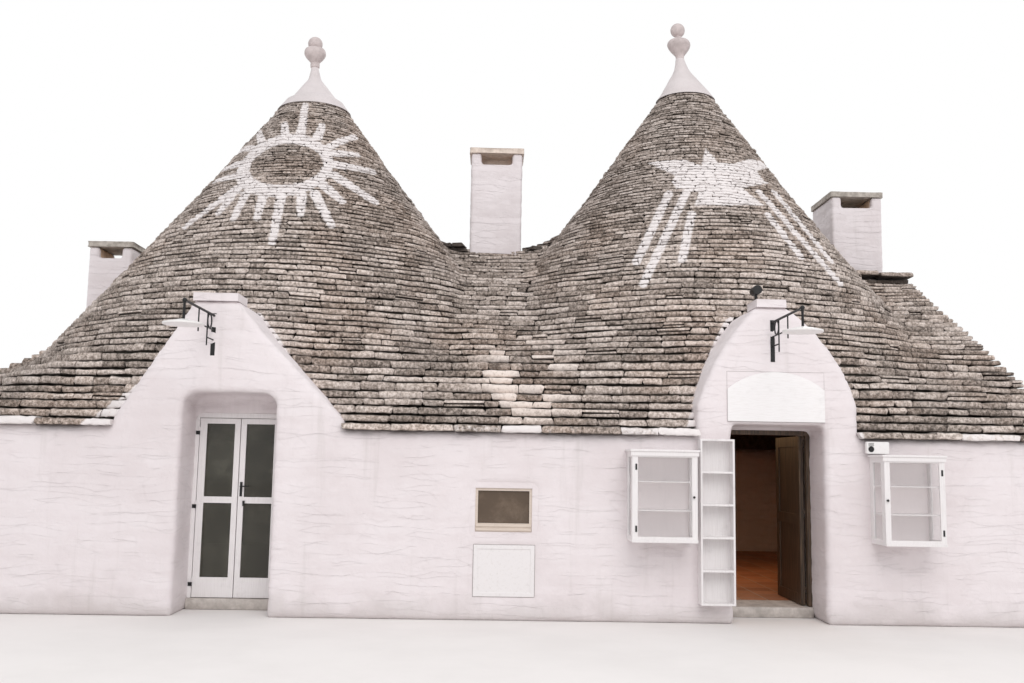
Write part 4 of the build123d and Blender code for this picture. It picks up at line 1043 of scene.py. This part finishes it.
TURN_STEPS = 72
BALL_LEAN = 0.5
BALL_LEAN_TO = 0.113
SKIRTS = {"left": 0.15, "right": 0.09}
SKIRT_PROUD = 0.004
BALL_R = 0.107
CROWNS = {
    "left": ((0.335, 0.06), (0.286, 0.12), (0.236, 0.185), (0.194, 0.243), (0.151, 0.297), (0.111, 0.348),
             (0.09, 0.392), (0.074, 0.459), (0.061, 0.513), (0.053, 0.56)),
    "right": ((0.335, 0.06), (0.305, 0.105), (0.255, 0.177), (0.207, 0.25), (0.157, 0.32), (0.116, 0.394),
              (0.098, 0.442), (0.077, 0.515), (0.067, 0.56), (0.064, 0.58)),
}
CUPS = {
    "left": ((0.052, -0.02), (0.053, 0.005), (0.066, 0.018), (0.067, 0.07), (0.062, 0.082), (0.085, 0.11),
             (0.125, 0.155), (0.152, 0.2), (0.158, 0.23), (0.152, 0.27), (0.135, 0.295), (0.108, 0.308),
             (0.083, 0.31)),
    "right": ((0.06, -0.02), (0.061, 0.04), (0.066, 0.075), (0.1, 0.12), (0.145, 0.18), (0.17, 0.24),
              (0.165, 0.282), (0.14, 0.313), (0.1, 0.325), (0.06, 0.33), (0.047, 0.345), (0.046, 0.376)),
}


def lathe(name, outline, x, y, material, replaced, shift, ragged=0.0):
    """Turns an outline of radius and height, each ring shifted sideways. Its foot may run ragged."""
    verts = []
    for row, (radius, z) in enumerate(outline):
        for step in range(TURN_STEPS):
            angle = -2 * math.pi * step / TURN_STEPS
            spot = Vector((math.cos(angle) * 3, math.sin(angle) * 3, z * 4))
            r = radius * (1 + 0.012 * noise.noise(spot)) if radius > 0.02 else radius
            drop = ragged * (0.5 + 0.5 * noise.noise(spot * 2.1)) if row == 0 else 0
            verts.append((x + shift(z) + r * math.cos(angle), y + r * math.sin(angle), z + drop))
    faces = tube_faces(0, len(outline), TURN_STEPS)
    link(name, mesh_of(name, verts, faces, SHARP_SLAB), material, replaced=[replaced])


def smooth_through(points, steps=4):
    """A smooth outline through points of radius and height."""
    ends = np.array([points[0], *points, points[-1]])
    outline = []
    for a, b, c, d in zip(ends, ends[1:], ends[2:], ends[3:]):
        for t in np.arange(steps) / steps:
            bend = (c - a) * t + (2 * a - 5 * b + 4 * c - d) * t * t
            outline.append((2 * b + bend + (3 * b - a - 3 * c + d) * t ** 3) / 2)
    return outline + [points[-1]]


def ball_points(z, start, steps=14):
    """The outline of the ball from an angle above its foot to its top."""
    angles = [start + (math.pi - start) * step / steps for step in range(steps + 1)]
    return [(max(BALL_R * math.sin(a), 0.0005), z - BALL_R * math.cos(a)) for a in angles]


def pinnacle(side):
    """A plastered crown that runs into the roof, and the cup and ball on its neck."""
    plaster = side + "_plaster_cone"
    finial = side + "_finial"
    low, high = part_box(plaster)
    foot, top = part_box(finial)
    x, y = middle(plaster).x, middle(plaster).y
    reach = SKIRTS[side]
    skirt = []
    for drop in (reach, reach / 2):
        spot = outer_spot(HALVES[side == "right"], -math.pi / 2, low.z - drop)
        skirt.append((AXIS_Y - spot[1] + SKIRT_PROUD, low.z - drop))
    skirt.append((2 * skirt[1][0] - skirt[0][0], low.z))
    crown = [skirt[-1]] + [(radius, low.z + rise) for radius, rise in CROWNS[side]]
    outline = [(skirt[0][0] - 0.06, low.z - reach - 0.01)] + skirt + smooth_through(crown)[1:]
    lean = x - middle(finial).x

    def shift(z):
        """Both parts lean towards the left, the ball most."""
        plaster_share = clamp((z - low.z) / (high.z - low.z))
        ball_share = clamp((z - high.z) / (top.z - BALL_LEAN_TO - high.z))
        return -lean * (plaster_share + BALL_LEAN * ball_share)

    lathe(plaster + "_washed", outline, x, y, PLASTER, plaster, shift, 0.05)
    cup = smooth_through([(radius, foot.z + rise) for radius, rise in CUPS[side]])
    ball = ball_points(top.z - BALL_R, math.asin(cup[-1][0] / BALL_R))
    lathe(finial + "_carved", cup + ball, x, y, CARVED, finial, shift)


# CAD nodes that show as they are: material, rounding of the edges and nodes

EDGE = 0.003
KEPT = (
    (DOOR_WHITE, EDGE, "left_door_frame door_leaf_left door_leaf_right"),
    (DOOR_GLASS_PAINTED_SHADE, 0, "door_glass_left door_glass_right"),
    (CASE_GLASS, 0, "left_case_glass right_case_glass"),
    (WINDOW_GLASS_PAINTED_SHADE, 0, "window_glass"),
    (CASE_WHITE, EDGE, "left_case right_case shelf_rack"),
    (DARK_WOOD, EDGE, "shop_door_frame shop_door_leaf"),
    (IRON, 0.0008, "left_door_hinges shop_door_hinges door_handle"),
    (IRON, 0.0015, "left_lamp_bracket right_lamp_bracket spotlight"),
    (ENAMEL, 0.002, "left_lamp_shade right_lamp_shade security_light"),
    (ROOM_WASH_PAINTED_LAMPLIGHT, 0, "left_dome right_dome"),
    (ROOM_WASH_PAINTED_LAMPLIGHT, 0.02, "middle_wall"),
    (TILES, 0, "floor"),
    (BEIGE, EDGE, "window_frame"),
    (HATCH_PAINT, 0.002, "hatch"),
    (BOARD_WHITE, 0.002, "sign_board"),
)


def kept_nodes():
    for material, edge, nodes in KEPT:
        for node in nodes.split():
            piece = NODES[node]
            piece.data.materials.clear()
            piece.data.materials.append(material)
            if edge:
                piece.modifiers.new("weld", "WELD").merge_threshold = WELD
                soften(piece, edge, 2, math.radians(35))


def worn_slabs():
    """The doorsteps and the caps of the gables."""
    for index, step in enumerate(("left_door_step", "right_door_step")):
        slab(step + "_worn", step, 50 + index, STEP_STONE, 0.004)
    for index, cap in enumerate(("left_gable_cap", "right_gable_cap")):
        slab(cap + "_washed", cap, 60 + index, WASH, 0.012)


# Small fittings, too fine for the solids

HATCH_GAP = 0.006
BOARD_GAP = 0.004
CASE_DOOR_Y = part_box("left_case")[0].y + 0.022


def joined(name, boxes, material, slot, body="root", drums=()):
    """One piece of soft-edged boxes and of drums along the depth: centre, two radii and length."""
    work = bmesh.new()
    for centre, back_r, front_r, length in drums:
        turn = Matrix.Translation(centre) @ Matrix.Rotation(math.pi / 2, 4, "X")
        bmesh.ops.create_cone(work, cap_ends=True, segments=28, radius1=back_r, radius2=front_r,
                              depth=length, matrix=turn)
    for low, high in boxes:
        add_box(work, low, high)
    mesh = mesh_from(name, work)
    shade(mesh, SHARP_STONE)
    soften(link(name, mesh, material, body), 0.0012, 1, math.radians(30))


def strips_round(node, width, near, far):
    """Four strips around the outside of a node, between two depths."""
    low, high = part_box(node)
    x0, x1, z0, z1 = low.x, high.x, low.z, high.z
    return [
        ((x0 - width, near, z0 - width), (x0, far, z1 + width)),
        ((x1, near, z0 - width), (x1 + width, far, z1 + width)),
        ((x0, near, z0 - width), (x1, far, z0)),
        ((x0, near, z1), (x1, far, z1 + width)),
    ]


def case_fittings(side, knob_x, hinge_x):
    """A fascia and a plinth, a knob, and two small hinges on the other stile of a case's door."""
    y = CASE_DOOR_Y
    low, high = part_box(side + "_case")
    fascia = ((low.x + 0.008, y - 0.012, high.z - 0.062), (high.x - 0.008, y + 0.002, high.z - 0.02))
    plinth = ((low.x + 0.02, y - 0.01, low.z), (high.x - 0.02, y + 0.002, low.z + 0.026))
    joined(side + "_case_boards", [fascia, plinth], CASE_WHITE, "case_paint")
    # A near-white panel at the back of the case: painted light where its inside lies in shade.
    corner = (low.x + 0.025, STREET_Y - 0.028, low.z + 0.03)
    back = (corner, (high.x - 0.025, STREET_Y - 0.0215, high.z - 0.05))
    joined(side + "_case_back_painted_light", [back], CASE_BACK_PAINTED_LIGHT, "case_paint")
    knob = ((knob_x, y - 0.009, low.z + 0.44), 0.009, 0.012, 0.022)
    hinges = []
    for z in (low.z + 0.13, high.z - 0.17):
        hinges.append(((hinge_x - 0.009, y - 0.004, z - 0.03), (hinge_x + 0.009, y + 0.001, z + 0.03)))
    joined(side + "_case_knob_hinges", hinges, IRON, "black_iron", drums=[knob])


def light_fittings():
    """The lens and the slots of the security light."""
    low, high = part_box("security_light")
    front = low.y + 0.002
    lens = ((low.x + 0.045, front - 0.001, low.z + 0.045), 0.026, 0.03, 0.012)
    slots = []
    for row in range(4):
        z = high.z - 0.018 - 0.009 * row
        slots.append(((low.x + 0.018, front - 0.003, z), (low.x + 0.075, front + 0.001, z + 0.005)))
    joined("security_light_lens", slots, IRON, "black_iron", drums=[lens])


def small_fittings():
    y = STREET_Y
    gap = strips_round("hatch", HATCH_GAP, y - 0.0015, y + 0.01)
    joined("hatch_gap", gap, SHADOW_GAP, "hatch_paint")
    gap = strips_round("sign_board", BOARD_GAP, y - 0.002, y + 0.01)
    joined("sign_board_gap", gap, SHADOW_GAP, "board_white")
    low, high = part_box("left_case")
    case_fittings("left", high.x - 0.06, low.x + 0.06)
    low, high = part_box("right_case")
    case_fittings("right", low.x + 0.045, high.x - 0.05)
    light_fittings()
    x = middle("door_handle").x
    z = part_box("door_handle")[0].z
    leaf_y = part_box("door_leaf_right")[0].y
    plate = ((x - 0.012, leaf_y - 0.002, z - 0.1), (x + 0.012, leaf_y + 0.001, z - 0.045))
    joined("door_keyhole", [plate], IRON, "black_iron", "leaf_right")
    low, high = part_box("window_frame")
    surround = strips_round("window_frame", REVEAL, y - 0.001, high.y + 0.005)
    joined("window_surround", surround, WASH, "whitewashed_wall")
    rails = []
    for z in (low.z + 0.012, low.z + 0.052):
        rails.append(((low.x + 0.006, low.y - 0.009, z), (high.x - 0.006, low.y + 0.004, z + 0.024)))
    joined("window_rails", rails, BEIGE, "beige_paint")


# Stage, light and camera

STAGE_HALF = 60
SKY_COLOUR = (0.98, 0.985, 1, 1)
SKY_STRENGTH = 0.9
CAMERA_PLACE = (-0.0964, -13.6527, 1.5696)
CAMERA_PITCH = math.radians(6.9244)
CAMERA_YAW = math.radians(-1.2083)
CAMERA_ROLL = math.radians(0.9807)
FOCAL_PX = 989.9
IMAGE_W = 1024
SENSOR_W = 36.0


def camera():
    lens = bpy.data.cameras.new("photo_camera")
    with_settings(lens, sensor_width=SENSOR_W, lens=FOCAL_PX / IMAGE_W * SENSOR_W, clip_end=200)
    seat = put("photo_camera", lens)
    turn = Matrix.Rotation(CAMERA_YAW, 4, "Z")
    turn = turn @ Matrix.Rotation(math.pi / 2 + CAMERA_PITCH, 4, "X")
    turn = turn @ Matrix.Rotation(CAMERA_ROLL, 4, "Z")
    seat.matrix_world = Matrix.Translation(CAMERA_PLACE) @ turn
    bpy.context.scene.camera = seat


def softbox(name, place, target, size, power, colour):
    light = bpy.data.lights.new(name, "AREA")
    with_settings(light, shape="DISK", size=size, energy=power, color=colour)
    aim = (Vector(target) - Vector(place)).to_track_quat("-Z", "Y")
    put(name, light).matrix_world = Matrix.LocRotScale(Vector(place), aim, None)


def sky():
    """A plain white background, and a dimmer overcast sky that lights the house."""
    world = bpy.data.worlds.new("overcast")
    bpy.context.scene.world = world
    world.use_nodes = True
    tree = world.node_tree
    tree.nodes.clear()
    rays = add_node(tree, "LightPath").outputs
    seen = rays["Is Camera Ray"]
    for kind in ("Is Glossy Ray", "Is Transmission Ray"):
        seen = add_node(tree, "Math", {0: seen, 1: rays[kind]}, operation="MAXIMUM").outputs[0]
    lights = {"Fac": seen}
    for index, colour, strength in ((1, SKY_COLOUR, SKY_STRENGTH), (2, (1, 1, 1, 1), 1)):
        light = add_node(tree, "Background", {"Color": colour, "Strength": strength})
        lights[index] = light.outputs[0]
    mix = add_node(tree, "MixShader", lights)
    add_node(tree, "OutputWorld", {"Surface": mix.outputs[0]})


def stage():
    work = bmesh.new()
    bmesh.ops.create_grid(work, x_segments=8, y_segments=8, size=STAGE_HALF)
    mesh = mesh_from("ground", work)
    mesh.materials.append(ground())
    floor = put("ground", mesh)
    softbox("sky_front", (3, -18, 15), (0, 0, 2.5), 14, 1500, (1.0, 0.985, 0.975))
    softbox("sky_rear", (8, 18, 14), (0, 1, 2.5), 14, 1300, (0.97, 0.985, 1.0))
    room_middle = (RIGHT_AXIS, ROOM_Y + 2, 0)
    softbox("room_glow", (RIGHT_AXIS, ROOM_Y + 2.2, 2.2), room_middle, 1.2, 20, (1.0, 0.6, 0.3))


roof_stones()
eave_stones()
ridge_slabs()
roof_core("left_cone_roof")
roof_core("right_cone_roof")
street_walls()
rear_walls()
chimneys()
pinnacle("left")
pinnacle("right")
kept_nodes()
worn_slabs()
small_fittings()
stage()
sky()
camera()
bpy.context.scene.view_settings.view_transform = "Standard"
